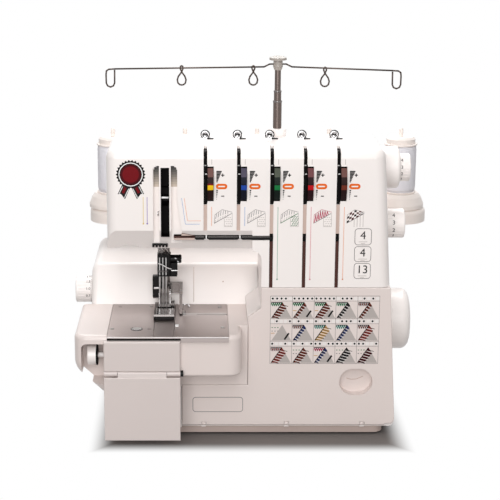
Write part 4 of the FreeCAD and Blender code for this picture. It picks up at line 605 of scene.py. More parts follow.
@dataclass
class TensionBank:
    """Thread slots, thumb-wheel marks and their prints on the upper front."""

    first: float = -58.4
    pitch: float = 34.65
    half_slot: float = 1.9
    slot_bottom: float = 258.6
    groove_floor: float = -95.4
    groove_end: float = 231.0
    long_end: float = 166.2
    dial_y: float = -80.0
    dial_z: float = 281.0
    dial_radius: float = 24.0
    lip_low: float = 18.4
    lip_high: float = 20.3
    marks: ClassVar[Sequence[Finish]] = (INK_YELLOW, INK_BLUE, INK_GREEN, INK_RED, INK_BROWN)
    lines: ClassVar[Sequence[Finish]] = (INK_PEACH, INK_SKY, INK_SAGE, INK_ROSE, INK_PEACH)
    rims: ClassVar[Sequence[Colour]] = ((44, 20, 20), (14, 18, 40), (14, 28, 22), (46, 12, 20), (44, 18, 18))

    def slot(self, index: int) -> float:
        """Middle of one slot."""
        return self.first + index * self.pitch

    def build(self) -> None:
        """Builds the liners, black as painted shadow inside the slots, the marks of the wheels and the prints."""
        liners = Piece("slot_liners", "machine", "dial_dark")
        prints = Piece("tension_prints", "machine", "shell")
        for index in range(len(self.marks)):
            self.liner(liners, index)
            self.scale(prints, index)
            self.mark(index)
        liners.done()
        prints.done()

    def liner(self, piece: Piece, index: int) -> None:
        """Black back of one slot as painted shadow, its groove, a painted glint and its guide pins."""
        x = self.slot(index)
        bend = [(-86.0 - 7.4 * math.cos(math.radians(a)), 307.0 + 7.4 * math.sin(math.radians(a)))
                for a in range(0, 91, 15)]
        path = [(-93.4, self.slot_bottom - 0.6)] + bend + [(-77.5, 314.4)]
        # Painted shadow: a black sheet behind the slot stands in for the dark inside of the casing.
        piece.ribbon(path, x - self.half_slot - 0.5, x + self.half_slot + 0.2, 0.4, DARK)
        low = self.groove_end if index < 2 else self.long_end
        half = self.half_slot - 0.05
        top = 258.5 if index < 2 else 227.0
        piece.line((x, low), (x, top), 2 * half, BAND if index < 2 else UMBER, self.groove_floor)
        if index >= 2:
            piece.line((x, 227.0), (x, 258.5), 2 * half, BAND, self.groove_floor)
            piece.line((x, 219.0), (x, 227.4), 2 * half - 0.2, DARK, self.groove_floor, 0.3)
        for z in (self.dial_z - self.lip_high, self.dial_z + self.lip_low):
            piece.block((x + 2.3, FRONT + 0.02, z), (x + 8.7, FRONT + 0.5, z + self.lip_high - self.lip_low), SHELL)
        # Painted highlight: a short white bar stands in for the glint on the tension discs inside the slot.
        piece.rod((x - 0.4, -95.0, 291.0), (x + half, -95.0, 291.0), 0.55, INK_WHITE)
        for z, y in ((300.0, -94.6), (309.0, -92.0)):
            piece.rod((x - half, y, z), (x + half, y, z), 0.7, STEEL)

    def mark(self, index: int) -> None:
        """Coloured mark on the rim of one wheel, with a paler band above it as painted highlight."""
        left = self.slot(index) + self.half_slot + 0.45
        right = left + 5.9
        piece = Piece(f"tension_mark_{index + 1}", f"tension_{index + 1}", "dial_dark")

        def rim(low: float, high: float, radius: float) -> List[Flat]:
            angles = [math.radians(low + (high - low) * step / 8) for step in range(9)]
            return [(self.dial_y - radius * math.cos(a), self.dial_z + radius * math.sin(a)) for a in angles]

        red, green, blue = self.rims[index]
        tint = Finish(f"dial_rim_{index + 1}", self.rims[index], (red // 2, green // 2, blue // 2), 0.45, shine=0.1)
        # Painted highlight: a paler copy of the rim colour on the upper part of the rim.
        top = Finish(f"dial_painted_highlight_{index + 1}", (red + 80, green + 70, blue + 64), (red + 50, green + 42, blue + 38), 0.5,
                     shine=0.1)
        piece.ribbon(rim(-46.0, 20.0, self.dial_radius + 0.2), left, right, 0.4, tint)
        piece.ribbon(rim(20.0, 44.0, self.dial_radius + 0.2), left, right, 0.4, top)
        piece.ribbon(rim(-12.0, 0.0, self.dial_radius + 0.4), left, right, 0.5, self.marks[index])
        if index == 0:
            piece.ribbon(rim(0.0, 4.0, self.dial_radius + 0.35), left, right, 0.5, INK_MAROON)
        piece.done()

    def scale(self, piece: Piece, index: int) -> None:
        """Prints beside one wheel: wedges, signs, pill, lines and stitch picture."""
        x = self.slot(index)
        for step in range(8):
            z = 294.2 - 1.55 * step
            width = 5.6 - 0.62 * step
            piece.line((x + 11.4, z), (x + 11.4 + width, z), 1.3, INK_BLACK)
        for step in range(6):
            z = 274.0 - 1.9 * step
            piece.line((x + 11.4, z), (x + 13.0 - 0.22 * step, z), 1.5 - 0.14 * step,
                       INK_BLACK if step < 4 else INK_GREY)
        piece.line((x + 16.3, 290.3), (x + 19.7, 290.3), 1.0, INK_BLACK)
        piece.line((x + 18.0, 288.6), (x + 18.0, 292.0), 1.0, INK_BLACK)
        piece.line((x + 16.4, 268.0), (x + 19.6, 268.0), 1.0, INK_BLACK)
        piece.patch(rounded_corners((x + 11.0, 275.4), (x + 22.8, 281.2), 2.8), INK_ORANGE)
        piece.patch(rounded_corners((x + 13.4, 277.6), (x + 20.4, 279.0), 0.6), INK_WHITE, rise=PRINT_RISE + 0.06)
        ink = self.lines[index]
        piece.line((x + 6.6, 301.5), (x + 6.6, 307.0), 0.5, INK_PALE)
        low = 236.0 if index < 2 else 178.0
        piece.line((x + 6.6, low), (x + 6.6, 256.5), 0.6, ink)
        if index >= 2:
            piece.dot(x + 6.6, low, 0.9, ink)
        self.stitch(piece, index)

    def stitch(self, piece: Piece, index: int) -> None:
        """Small line picture of a sewn corner of cloth."""
        left = self.slot(index) + 9.0

        def at(across: float, up: float) -> Flat:
            return left + 19.5 * across, 235.0 + 22.0 * up

        def cloth(along: float, over: float) -> Flat:
            return at(0.02 + 0.93 * along + 0.03 * over, 0.18 + (0.48 + 0.02 * over) * along
                      + over * (0.46 - 0.42 * max(0.0, along - 0.42) / 0.58 - 0.1 * max(0.0, 0.42 - along)))

        edge = INK_GREY if index < 3 else (INK_CRIMSON, INK_PALE)[index - 3]
        piece.path([cloth(0.0, 0.0), cloth(0.0, 1.0), cloth(0.42, 1.0), cloth(1.0, 1.0)], 0.4, edge)
        piece.line(cloth(0.0, 0.0), cloth(1.0, 0.0), 0.6, INK_GREEN if index == 2 else INK_GREY)
        if index < 4:
            piece.path([at(0.98, 0.68), at(0.98, 0.02), at(0.56, 0.02), at(0.56, 0.42)], 0.4, INK_PALE)
        for step in range(6):
            foot, head = cloth(0.04 + 0.14 * step, 0.06), cloth(0.1 + 0.13 * step, 0.92)
            if index == 3:
                piece.path([foot, head, cloth(0.14 + 0.14 * step, 0.1)], 0.7, INK_CRIMSON)
            elif index < 3:
                piece.path([cloth(0.06 + 0.14 * step, 0.45), head], 0.55, INK_GREY)
                piece.path([foot, cloth(0.08 + 0.14 * step, 0.3)], 0.4, INK_PALE)
        for row in range(5):
            for column in range(3 if index < 4 else 0):
                start = at(0.6 + 0.12 * column + 0.05 * (row % 2), 0.06 + 0.1 * row)
                if index == 2:
                    piece.line(start, (start[0] + 2.0, start[1] + 1.3), 0.6, INK_GREEN)
                else:
                    piece.line(start, (start[0] + 1.5, start[1]), 0.45, INK_PALE)
        if index == 4:
            for step in range(4):
                piece.line(at(0.42 + 0.16 * step, 0.0), at(0.42 + 0.16 * step, 0.36 + 0.08 * step), 0.5, INK_PALE)
            for row in range(4):
                for column in range(7):
                    if (row + column) % 2 == 0:
                        low, high = 0.02 + 0.24 * row, 0.24 + 0.24 * row
                        start, end = 0.135 * column, 0.135 * column + 0.13
                        ink = INK_WINE if column % 3 else INK_BLACK
                        piece.patch([cloth(start, low), cloth(end, low), cloth(end, high), cloth(start, high)], ink)


@dataclass
class CasingPrints:
    """Prints of the upper front beside the wheels: number boxes, thread lines and a plain rosette."""

    box_left: float = 98.4
    box_right: float = 116.3
    boxes: ClassVar[Sequence[Tuple[float, float, str]]] = (
        (214.9, 233.8, "4"), (196.7, 214.5, "4"), (178.2, 196.2, "13"))
    rosette_x: float = -136.0
    rosette_z: float = 291.0
    rosette_radius: float = 15.5

    def build(self) -> None:
        """Builds the prints on the front cover."""
        piece = Piece("casing_prints", "machine", "shell")
        middle = (self.box_left + self.box_right) / 2
        for low, high, text in self.boxes:
            piece.outline((self.box_left, low + 0.4), (self.box_right, high - 0.4), 3.4, 0.6, INK_GREY)
            place = Matrix.Translation((middle, FRONT, (low + high) / 2 + 1.2))
            piece.figure(text, 9.0, place, INK_BLACK)
            for drop, half in ((-5.4, 4.6), (-7.2, 2.2)):
                z = (low + high) / 2 + drop
                piece.line((middle - half, z), (middle + half, z), 0.5, INK_PALE)
        for x, ink in ((-123.3, INK_STRAW), (-119.2, INK_VIOLET)):
            piece.line((x, 239.0), (x, 267.0), 0.6, ink)
            piece.dot(x, 238.6, 0.9, ink)
        piece.path([(-83.2, 266.0), (-79.3, 238.0), (-64.4, 238.0)], 0.5, INK_SKY)
        piece.path([(-80.5, 266.0), (-77.1, 241.6), (-63.0, 241.6)], 0.5, INK_PEACH)
        self.rosette(piece)
        piece.done()

    def rosette(self, piece: Piece) -> None:
        """Plain rosette with two slanting ribbon tails and no words."""
        x, z, radius = self.rosette_x, self.rosette_z, self.rosette_radius
        for side in (-1, 1):
            piece.patch([(x, z - 12.0), (x + side * 8.4, z - 9.5), (x + side * 13.8, z - 20.8),
                         (x + side * 10.4, z - 20.6), (x + side * 6.2, z - 26.2)], INK_BLACK, rise=0.08)
            piece.patch([(x + side * 3.2, z - 12.0), (x + side * 6.0, z - 11.0), (x + side * 9.6, z - 19.0),
                         (x + side * 7.2, z - 20.4)], INK_MAROON, rise=0.12)
            for start, end in (((1.6, -14.0), (6.8, -24.6)), ((7.4, -10.6), (12.4, -20.7))):
                piece.line((x + side * start[0], z + start[1]), (x + side * end[0], z + end[1]), 0.7, INK_WHITE,
                           rise=0.14)
        teeth = 26
        edge = []
        for step in range(2 * teeth):
            reach = radius if step % 2 == 0 else radius - 1.7
            angle = math.pi * step / teeth
            edge.append((x + reach * math.cos(angle), z + reach * math.sin(angle)))
        piece.patch(edge, INK_BLACK, rise=0.18)
        for reach, ink, rise in ((12.7, INK_WHITE, 0.22), (11.7, INK_BLACK, 0.26), (10.9, INK_WINE, 0.3),
                                 (8.6, INK_MAROON, 0.34)):
            piece.dot(x, z, reach, ink, rise=rise)


@dataclass
class StitchChart:
    """Stitch chart and empty label frame on the looper door."""

    left: float = 11.0
    bottom: float = 84.0
    right: float = 127.0
    top: float = 159.6
    columns: int = 5
    header: float = 5.6
    dots: ClassVar[Sequence[Sequence[str]]] = (
        ("11110", "11111", "11111", "01110", "01010"),
        ("01001", "01010", "10110", "01110", "11010"),
        ("10010", "10101", "11011", "11101", "11001"))
    tops: ClassVar[Sequence[Sequence[Optional[Finish]]]] = (
        (INK_GREEN, INK_GREEN, INK_GREEN, INK_GREEN, INK_BROWN),
        (None, INK_BROWN, INK_TEAL, INK_TEAL, INK_BROWN),
        (INK_RUST, None, INK_CRIMSON, None, None))
    sides: ClassVar[Sequence[Sequence[Optional[Finish]]]] = (
        (INK_BROWN, INK_BROWN, INK_BROWN, INK_BLACK, INK_BROWN),
        (None, INK_NAVY, INK_TAN, INK_NAVY, INK_RUST),
        (INK_RUST, INK_BROWN, INK_NAVY, INK_BLACK, INK_WINE))
    broad: ClassVar[Sequence[Sequence[bool]]] = (
        (True, False, True, False, False), (False, False, True, False, True), (True, True, False, True, True))
    bars: ClassVar[Sequence[Sequence[bool]]] = (
        (False, True, True, False, False), (True, False, False, False, False),
        (False, False, True, False, False))

    def build(self) -> None:
        """Builds the chart and the label frame."""
        piece = Piece("stitch_chart", "door", "shell")
        width = (self.right - self.left) / self.columns
        height = (self.top - self.bottom) / len(self.dots)
        for row in range(len(self.dots)):
            high = self.top - row * height
            piece.line((self.left, high), (self.right, high), 0.4, INK_GREY)
            piece.line((self.left, high - self.header), (self.right, high - self.header), 0.3, INK_GREY)
            for column in range(self.columns):
                self.cell(piece, row, column, self.left + column * width, high, width, height)
        piece.line((self.left, self.bottom), (self.right, self.bottom), 0.4, INK_GREY)
        for column in range(self.columns + 1):
            x = self.left + column * width
            piece.line((x, self.bottom), (x, self.top), 0.35, INK_GREY)
        piece.done()
        label = Piece("label_frame", "door", "shell")
        label.outline((-72.0, 28.6), (-17.5, 45.8), 3.4, 0.6, INK_GREY)
        label.done()

    def cell(self, piece: Piece, row: int, column: int, x: float, high: float, width: float, height: float) -> None:
        """One stitch: its dots, its cloth corner and its two sewn edges.

        Args:
            piece: mesh that takes the prints.
            row: row of the chart.
            column: column of the chart.
            x: left edge.
            high: top edge.
            width: width of the cell.
            height: height of the cell.
        """
        step = width / self.columns
        for place, shown in enumerate(self.dots[row][column]):
            centre = x + step * (place + 0.5)
            piece.line((centre - 0.42 * step, high - self.header / 2), (centre + 0.42 * step, high - self.header / 2),
                       self.header - 1.6, INK_CHART, rise=0.06)
            if shown == "1":
                piece.dot(centre, high - self.header / 2, 1.15, INK_BLACK)
        tall = height - self.header

        def at(across: float, up: float) -> Flat:
            return x + width * across, high - height + tall * up

        piece.patch([at(0.06, 0.04), at(0.97, 0.04), at(0.55, 0.93)], INK_PALE, rise=0.06)
        wide = 0.3 if self.broad[row][column] else 0.15
        ink = self.tops[row][column]
        if ink:
            piece.patch([at(0.03, 0.72), at(0.46, 0.72), at(0.55, 0.92), at(0.03, 0.92)], ink, rise=0.08)
            piece.line(at(0.03, 0.92), at(0.55, 0.92), 0.8, INK_BLACK)
            for count in range(5):
                piece.line(at(0.05 + 0.09 * count, 0.72), at(0.1 + 0.09 * count, 0.9), 0.7, INK_WHITE)
                piece.line(at(0.1 + 0.09 * count, 0.74), at(0.06 + 0.09 * count, 0.9), 0.6, INK_BLACK)
        else:
            for count in range(3):
                piece.line(at(0.06 + 0.13 * count, 0.78), at(0.12 + 0.13 * count, 0.78), 0.8, INK_GREEN)
                piece.line(at(0.06 + 0.13 * count, 0.58), at(0.12 + 0.13 * count, 0.58), 0.8, INK_GREY)
        ink = self.sides[row][column]
        if ink:
            piece.patch([at(0.06, 0.05), at(0.06 + wide, 0.05), at(0.56 + 0.6 * wide, 0.9 - wide), at(0.55, 0.92)],
                        ink, rise=0.08)
            piece.line(at(0.06, 0.05), at(0.55, 0.92), 0.9, INK_BLACK)
            for count in range(11):
                along = 0.06 + 0.082 * count
                start = at(0.08 + 0.48 * along, 0.06 + 0.84 * along)
                end = at(0.08 + 0.48 * along + wide, 0.06 + 0.84 * along - 0.1)
                piece.line(start, end, 0.6, INK_CHART if count % 2 else INK_BLACK)
        if self.bars[row][column]:
            piece.line(at(0.66, 0.1), at(0.86, 0.46), 1.9, INK_BLACK)
            piece.line(at(0.03, 0.46), at(0.2, 0.46), 0.7, INK_TAN)


@dataclass
class ThreadRail:
    """Dark thread rail across the lower edge of the arm."""

    left: float = -91.6
    right: float = 12.6
    low: float = 220.7
    high: float = 225.3
    floor: float = -90.0
    face: float = -96.2
    funnel_end: float = -69.6
    bars: ClassVar[Sequence[Flat]] = ((-69.3, -59.0), (-55.8, -23.2), (-20.6, 12.0))

    def build(self) -> None:
        """Builds the liner, the funnel at its left end, the bars and the tabs."""
        piece = Piece("thread_rail", "machine", "black_metal")
        piece.block((self.left, self.floor - 0.5, self.low), (self.right, self.floor + 0.2, self.high), DARK)
        piece.block((self.left, self.face, self.low), (self.funnel_end, self.floor, self.low + 2.0), BAND, 0.2)
        piece.block((self.left, self.face + 1.0, self.low + 2.0), (self.funnel_end, self.floor, self.low + 3.2), UMBER)
        piece.patch([(-83.4, 228.4), (-83.4, 225.6), (self.funnel_end, 225.6)], BAND)
        piece.line((-83.4, 228.4), (self.funnel_end, 225.5), 0.5, UMBER, rise=0.2)
        for start, end in self.bars:
            slant = [(start + 1.2, self.low + 0.2), (end - 1.2, self.low + 0.2), (end, self.low + 1.6),
                     (end, self.high - 1.9), (start, self.high - 1.9), (start, self.low + 1.6)]
            piece.patch(slant, BLACK, self.floor, self.floor - self.face)
            piece.block((start + 0.4, self.face + 0.6, self.high - 1.9), (end - 0.4, self.floor - 0.4, self.high - 1.2),
                        CHROME, 0.2)
        for x in (-57.4, -22.0):
            piece.patch([(x - 0.3, self.low + 0.3), (x + 0.3, self.low + 0.3), (x + 0.8, self.high - 0.3),
                         (x - 0.8, self.high - 0.3)], INK_WHITE, self.floor, self.floor - self.face - 0.4)
        piece.done()


@dataclass
class TakeUpChannel:
    """Painted shade on the sides of the take-up channel, and black sheets as painted shadow in its slot."""

    slot_left: float = -105.0
    slot_right: float = -96.0
    bottom: float = 224.0
    top: float = 298.0
    mouth: float = -96.4
    back: float = -82.2
    floor: float = -88.0
    steps: int = 9
    axis_y: float = -62.0
    axis_z: float = 265.0
    shadow_shield: float = 19.0

    def build(self) -> None:
        """Builds black sheets as painted shadow in the slot, the painted shade on the tops of the channel and the small
        hook.
        """
        piece = Piece("take_up_slot", "machine", "dial_dark")
        for x in (self.slot_left, self.slot_right - 0.35):
            piece.block((x, self.mouth, self.bottom + 0.1), (x + 0.35, self.back, self.top - 0.1), DARK)
        for z in (self.bottom + 0.05, self.top - 0.4):
            piece.block((self.slot_left, self.mouth, z), (self.slot_right, self.back, z + 0.35), DARK)
        piece.wire([(-106.6, self.floor - 0.2, 246.0), (-108.4, -92.0, 246.4), (-108.4, -92.0, 249.4),
                    (-106.4, self.floor - 0.2, 250.4)], 0.6, BRIGHT)
        # Painted shadow: black panels at the back of the slot.
        for low, high in ((self.bottom + 0.3, 254.5), (276.0, self.top - 0.3)):
            piece.block((self.slot_left + 0.1, self.back - 0.4, low), (self.slot_right - 0.1, self.back, high), DARK)
        for left, right in ((-112.6, -106.6), (-94.4, -87.9)):
            self.shade(piece, left, right)
        piece.done()
        # Painted shadow: a black sheet on the lever, in front of its hub, keeps the slot dark as the lever swings.
        lever = Piece("take_up_front", "take_up", "dial_dark")
        angles = [math.radians(angle) for angle in range(-85, 56, 10)]
        curve = [(self.axis_y - self.shadow_shield * math.cos(angle), self.axis_z + self.shadow_shield * math.sin(angle))
                 for angle in angles]
        lever.ribbon(curve, self.slot_left + 0.5, self.slot_right - 0.5, 0.4, DARK)
        lever.rod((self.slot_left + 0.8, self.mouth + 0.3, self.axis_z + 1.2),
                  (self.slot_right - 0.8, self.mouth + 0.3, self.axis_z + 1.2), 1.1, INK_WHITE)
        lever.done()

    def shade(self, piece: Piece, left: float, right: float) -> None:
        """Lays a painted shade on the floor of one groove: dark at the top and paler downwards."""
        for step in range(self.steps):
            fade = step / (self.steps - 1)
            colour = tuple(round(34 + (208 - 34 - 14 * channel) * fade ** 0.8) for channel in range(3))
            darker = tuple(max(0, value - 8) for value in colour)
            # Each step is one tone of the painted shade.
            ink = Finish(f"channel_painted_shade_{step}", colour, darker, 0.5)
            high = 299.6 - 2.6 * step
            inset = 3.2 if step == 0 else 0.9 if step == 1 else 0.0
            outer, inner = (left + inset, right) if left < self.slot_left else (left, right - inset)
            piece.line((outer, high - 1.3), (inner, high - 1.3), 2.62, ink, self.floor)


@dataclass
class NeedleHead:
    """Trim of the needle clamp and the thread comb above it."""

    front: float = -51.5
    left: float = -110.5
    right: float = -96.0

    def build(self) -> None:
        """Builds the comb, the clamp's strips, screws, painted glints and guide wires."""
        comb = Piece("thread_comb", "machine", "black_metal")
        comb.block((-114.5, -89.4, 212.8), (-98.0, -82.0, 215.0), BLACK, 0.4)
        for step in range(5):
            x = -114.4 + 3.5 * step
            comb.block((x, -90.8, 211.4), (x + 2.2, -87.0, 214.6), BLACK, 0.2)
        for step in range(3):
            x = -112.6 + 4.2 * step
            comb.wire([(x, -86.0, 213.0), (x + 1.4, -70.0, 208.0), (x + 7.4, -57.6, 194.4)], 0.4, BRIGHT)
        comb.done()
        clamp = Piece("clamp_trim", "needle_drive", "bright")
        for step in range(3):
            x = -108.0 + 3.5 * step
            clamp.block((x - 0.6, self.front - 0.9, 170.0), (x + 0.6, self.front + 0.2, 190.0), STEEL, 0.25)
            clamp.disc((x, self.front - 0.5, 174.5), 1.3, 1.4, Axis.Y, CHROME, 18)
        clamp.block((-110.4, -52.2, 188.6), (-98.6, -40.0, 193.6), BLACK, 0.6)
        clamp.turned([(0.0, 0.0), (4.7, 0.0), (4.7, 2.2), (4.0, 3.0), (0.0, 3.0)], (-87.2, -46.0, 187.0), Axis.X, BLACK)
        # Painted highlight: a thin bright bar across the end of the screw stands in for its glint.
        clamp.block((-84.6, -50.4, 186.4), (-83.9, -41.6, 187.6), BRIGHT, 0.1)
        clamp.block((-96.2, -51.4, 169.6), (-88.6, -42.0, 183.4), BLACK, 0.6)
        # Painted highlight: a bright line across the lower black block stands in for a glint.
        clamp.block((-95.4, -51.8, 174.6), (-88.4, -51.0, 175.6), BRIGHT, 0.2)
        # Painted highlights: small bright dashes on the screw head stand in for its glints.
        for x, z in ((-90.6, 188.6), (-88.0, 185.2)):
            clamp.block((x - 1.0, -51.0, z - 0.5), (x + 1.0, -50.2, z + 0.5), BRIGHT, 0.2, 30.0)
        clamp.wire([(-109.4, self.front - 1.4, 183.4), (-105.6, self.front - 1.8, 182.4),
                    (-99.0, self.front - 1.8, 178.4), (-95.0, self.front - 0.6, 177.0)], 0.5, INK_WHITE)
        clamp.done()


@dataclass
class PresserTrim:
    """Dark release, ankle plates and toe of the presser foot."""

    sole_top: float = 131.0

    def build(self) -> None:
        """Builds the trim on the presser foot."""
        piece = Piece("presser_trim", "presser", "black_metal")
        piece.block((-116.4, -36.4, 139.6), (-106.6, -27.6, 164.4), BLACK, 1.0)
        piece.block((-115.0, -37.4, 150.0), (-108.0, -36.2, 152.2), STEEL, 0.3)
        piece.block((-114.1, -79.2, 127.5), (-91.9, -77.6, 131.2), BLACK, 0.3)
        for x in (-109.6, -97.8):
            piece.block((x, -40.0, 130.8), (x + 1.6, -28.0, 146.0), BRIGHT, 0.4)
        piece.rod((-110.4, -33.0, 138.0), (-95.4, -33.0, 138.0), 1.4, STEEL)
        piece.turned([(0.0, 0.0), (3.0, 0.0), (3.0, 1.4), (2.4, 2.0), (0.0, 2.0)], (-98.0, -36.4, 146.5), Axis.X, STEEL)
        for x in (-111.8, -94.6):
            piece.block((x, -77.0, 130.9), (x + 1.0, -50.0, 132.2), STEEL, 0.3)
        piece.done()


@dataclass
class ClothPlates:
    """Edges, steps and small fittings of the cloth plates."""

    top: float = 127.0

    def build(self) -> None:
        """Builds the trim on the plates, a painted highlight on their front edge and a painted shadow in the gap below
        them.
        """
        piece = Piece("plate_trim", "machine", "plate")
        # Painted highlight along the plates' front edge, then painted shadow in the gap beneath them.
        piece.block((-160.8, -137.2, 125.6), (-34.2, -136.7, 126.6), STEEL, 0.2)
        piece.block((-161.0, -136.4, 122.9), (-34.4, -133.8, 124.9), DARK)
        piece.ring((-131.0, -110.0, 127.0), Axis.Z, 5.4, 0.4, BRIGHT)
        piece.ring((-131.0, -110.0, 126.95), Axis.Z, 6.0, 0.4, BLACK)
        piece.block((-90.4, -102.5, 127.0), (-86.6, -97.5, 128.6), INK_WHITE, 0.5)
        for y in (-60.0, -55.0):
            piece.block((-82.4, y, 127.0), (-35.0, y + 0.8, 127.25), STEEL, 0.1)
        piece.wire([(-86.0, -32.0, 127.4), (-83.0, -28.5, 129.4), (-78.5, -27.5, 129.6), (-75.0, -30.0, 127.6)],
                   0.7, BRIGHT)
        piece.done()


@dataclass
class SideFittings:
    """Numerals and rings of the dials on the sides, the handwheel and the niche."""

    def build(self) -> None:
        """Builds the numerals and rings, each on its own dial."""
        feed = Piece("differential_scale", "differential", "shell")
        self.numerals(feed, (("0.7", -16.0), ("1.0", 16.0), ("1.5", 48.0), ("2.0", 80.0)), -190.6, 13.0, 136.0, 15.0, 3.0)
        feed.ring((-187.4, 13.0, 136.0), Axis.X, 14.6, 0.5, INK_GREY)
        feed.done()
        length = Piece("length_scale", "stitch_length", "shell")
        self.numerals(length, (("1", -44.0), ("2", -16.0), ("3", 14.0), ("4", 44.0)), 145.5, -37.0, 225.0, 16.0, 4.6)
        length.done()
        selector = Piece("selector_marks", "selector", "shell")
        self.numerals(selector, (("1", -46.0), ("2", -18.0), ("3", 10.0), ("4", 40.0)), 152.4, -37.0, 287.0, 15.0, 3.6)
        for angle in range(0, 360, 60):
            turn = math.radians(angle)
            start = (162.1, -37.0 + 9.0 * math.cos(turn), 287.0 + 9.0 * math.sin(turn))
            end = (162.1, -37.0 + 12.0 * math.cos(turn), 287.0 + 12.0 * math.sin(turn))
            selector.rod(start, end, 0.4, INK_GREY, 8)
        selector.done()
        wheel = Piece("handwheel_rings", "main_drive", "shell")
        wheel.turned([(0.0, 0.0), (15.0, 0.0), (15.0, 0.6), (12.5, 1.2), (0.0, 1.4)], (171.6, 4.0, 104.0), Axis.X, SHELL)
        wheel.done()
        knob = Piece("width_knob_ring", "cutting_width", "dial_dark")
        knob.turned([(3.4, 0.0), (10.9, 0.0), (10.9, 1.8), (3.4, 1.8)], (-173.6, -117.0, 101.0), Axis.X, DARK)
        knob.done()

    def numerals(self, piece: Piece, marks: Sequence[Tuple[str, float]], x: float, y: float, z: float, radius: float,
                 height: float) -> None:
        """Numerals round the rim of a dial.

        Args:
            piece: mesh that takes them.
            marks: each numeral with its angle up from the front, in degrees.
            x: their place along the axis.
            y: Y of the axis.
            z: Z of the axis.
            radius: radius of the rim.
            height: height of the numerals.
        """
        for text, angle in marks:
            place = Matrix.Translation((x, y, z)) @ Matrix.Rotation(math.radians(-angle), 4, "X")
            piece.figure(text, height, place @ Matrix.Translation((0.0, -radius, 0.0)), INK_BLACK)


@dataclass
class SpoolStand:
    """Wound spools on the pins of the tray."""

    first: float = -166.8
    pitch: float = 85.1
    count: int = 5
    y: float = 112.05
    low: float = 228.0
    high: float = 287.0
    radius: float = 19.5
    bore: float = 4.0

    def build(self) -> None:
        """Builds the wound spools in place of the plain ones."""
        piece = Piece("wound_spools", "machine", "thread")
        for index in range(self.count):
            centre = (self.first + index * self.pitch, self.y, 0.0)
            waist = self.radius - 0.9
            for start in (self.low, self.high - 2.0):
                piece.turned([(self.bore, start), (self.radius - 0.5, start), (self.radius, start + 0.5),
                              (self.radius, start + 1.5), (self.radius - 0.5, start + 2.0), (self.bore, start + 2.0)],
                             centre, Axis.Z, TRAY)
            low, high = self.low + 2.0, self.high - 2.0
            tall = high - low
            piece.turned([(self.bore, low), (waist - 0.8, low), (waist, low + 0.1 * tall), (waist, low + 0.5 * tall),
                          (waist, low + 0.9 * tall), (waist - 0.8, high), (self.bore, high)], centre, Axis.Z, THREAD)
        piece.done("thread_spools")


@dataclass
class GuideWire:
    """Bent guide wire with drop-shaped eyelets and closed end loops, in place of the plain one."""

    y: float = -14.0
    radius: float = 0.9
    run: ClassVar[Sequence[Flat]] = (
        (-156.0, 390.2), (5.0, 392.4), (11.0, 395.4), (29.0, 395.4), (35.0, 392.4), (143.6, 388.4))
    drops: ClassVar[Sequence[Flat]] = ((-83.8, 387.0), (-6.5, 387.0), (70.8, 385.4))
    drop: ClassVar[Sequence[Flat]] = (
        (0.0, 0.0), (-3.6, -5.0), (-4.7, -8.6), (-4.0, -12.0), (-2.0, -13.8), (0.0, -14.2), (2.0, -13.8),
        (4.0, -12.0), (4.7, -8.6), (3.6, -5.0), (0.0, 0.0), (-1.5, 3.6), (-1.2, 5.8), (0.0, 6.6), (1.2, 5.8),
        (1.5, 3.6), (0.0, 0.0))
    loop: ClassVar[Sequence[Flat]] = (
        (4.6, 0.0), (-1.8, -0.5), (-4.2, -2.2), (-4.65, -6.0), (-4.5, -15.2), (-3.2, -18.2), (0.0, -19.6),
        (3.2, -18.2), (4.5, -15.2), (4.65, -1.2))

    def build(self) -> None:
        """Builds the wire, its three eyelets and its two end loops."""
        piece = Piece("drop_guide_wire", "mast_slide_2", "bright")
        self.bent(piece, self.run, (0.0, 0.0), 1)
        for place in self.drops:
            self.bent(piece, self.drop, place, 1)
        self.bent(piece, self.loop, (-160.7, 390.2), 1)
        self.bent(piece, self.loop, (148.3, 388.4), -1)
        piece.done("guide_wire")

    def bent(self, piece: Piece, shape: Sequence[Flat], place: Flat, way: int) -> None:
        """Lays one bent wire at a place, mirrored where the way is -1."""
        points = [(place[0] + way * across, self.y, place[1] + up) for across, up in shape]
        piece.wire(points, self.radius, WIRE)


@dataclass
class MastTrim:
    """Collars at the tops of the tubes and discs of the top guides."""

    x: float = 20.0
    y: float = -14.0

    def build(self) -> None:
        """Builds the collars on the tubes and the trim of the top guides."""
        for name, body, top, radius in (("mast_collar_low", "machine", 356.0, 4.65),
                                        ("mast_collar_middle", "mast_slide_1", 367.0, 4.0)):
            piece = Piece(name, body, "steel")
            piece.turned([(radius - 0.1, -1.8), (radius + 0.35, -1.8), (radius + 0.35, -0.3), (radius, 0.0),
                          (radius - 0.1, 0.0)], (self.x, self.y, top), Axis.Z, CHROME)
            piece.done()
        guides = Piece("top_guide_trim", "machine", "bright")
        for index in range(5):
            x = -58.4 + 34.65 * index
            guides.turned([(0.0, -0.4), (3.9, -0.4), (3.9, 0.4), (0.0, 0.4)], (x, -35.0, 322.2), Axis.Y, BRIGHT, 28)
            guides.ring((x, -35.6, 322.4), Axis.Y, 4.6, 0.55, BLACK)
            guides.ring((x, -36.2, 322.2), Axis.Y, 3.5, 0.5, BRIGHT)
            guides.block((x - 2.6, -36.2, 321.4), (x + 2.6, -35.2, 322.8), BLACK, 0.3)
            guides.block((x - 5.2, -36.6, 318.0), (x + 5.2, -35.4, 319.0), BLACK, 0.3)
            guides.block((x + 2.0, -40.0, 318.0), (x + 9.0, -36.8, 319.0), BLACK, 0.3)
        guides.done()


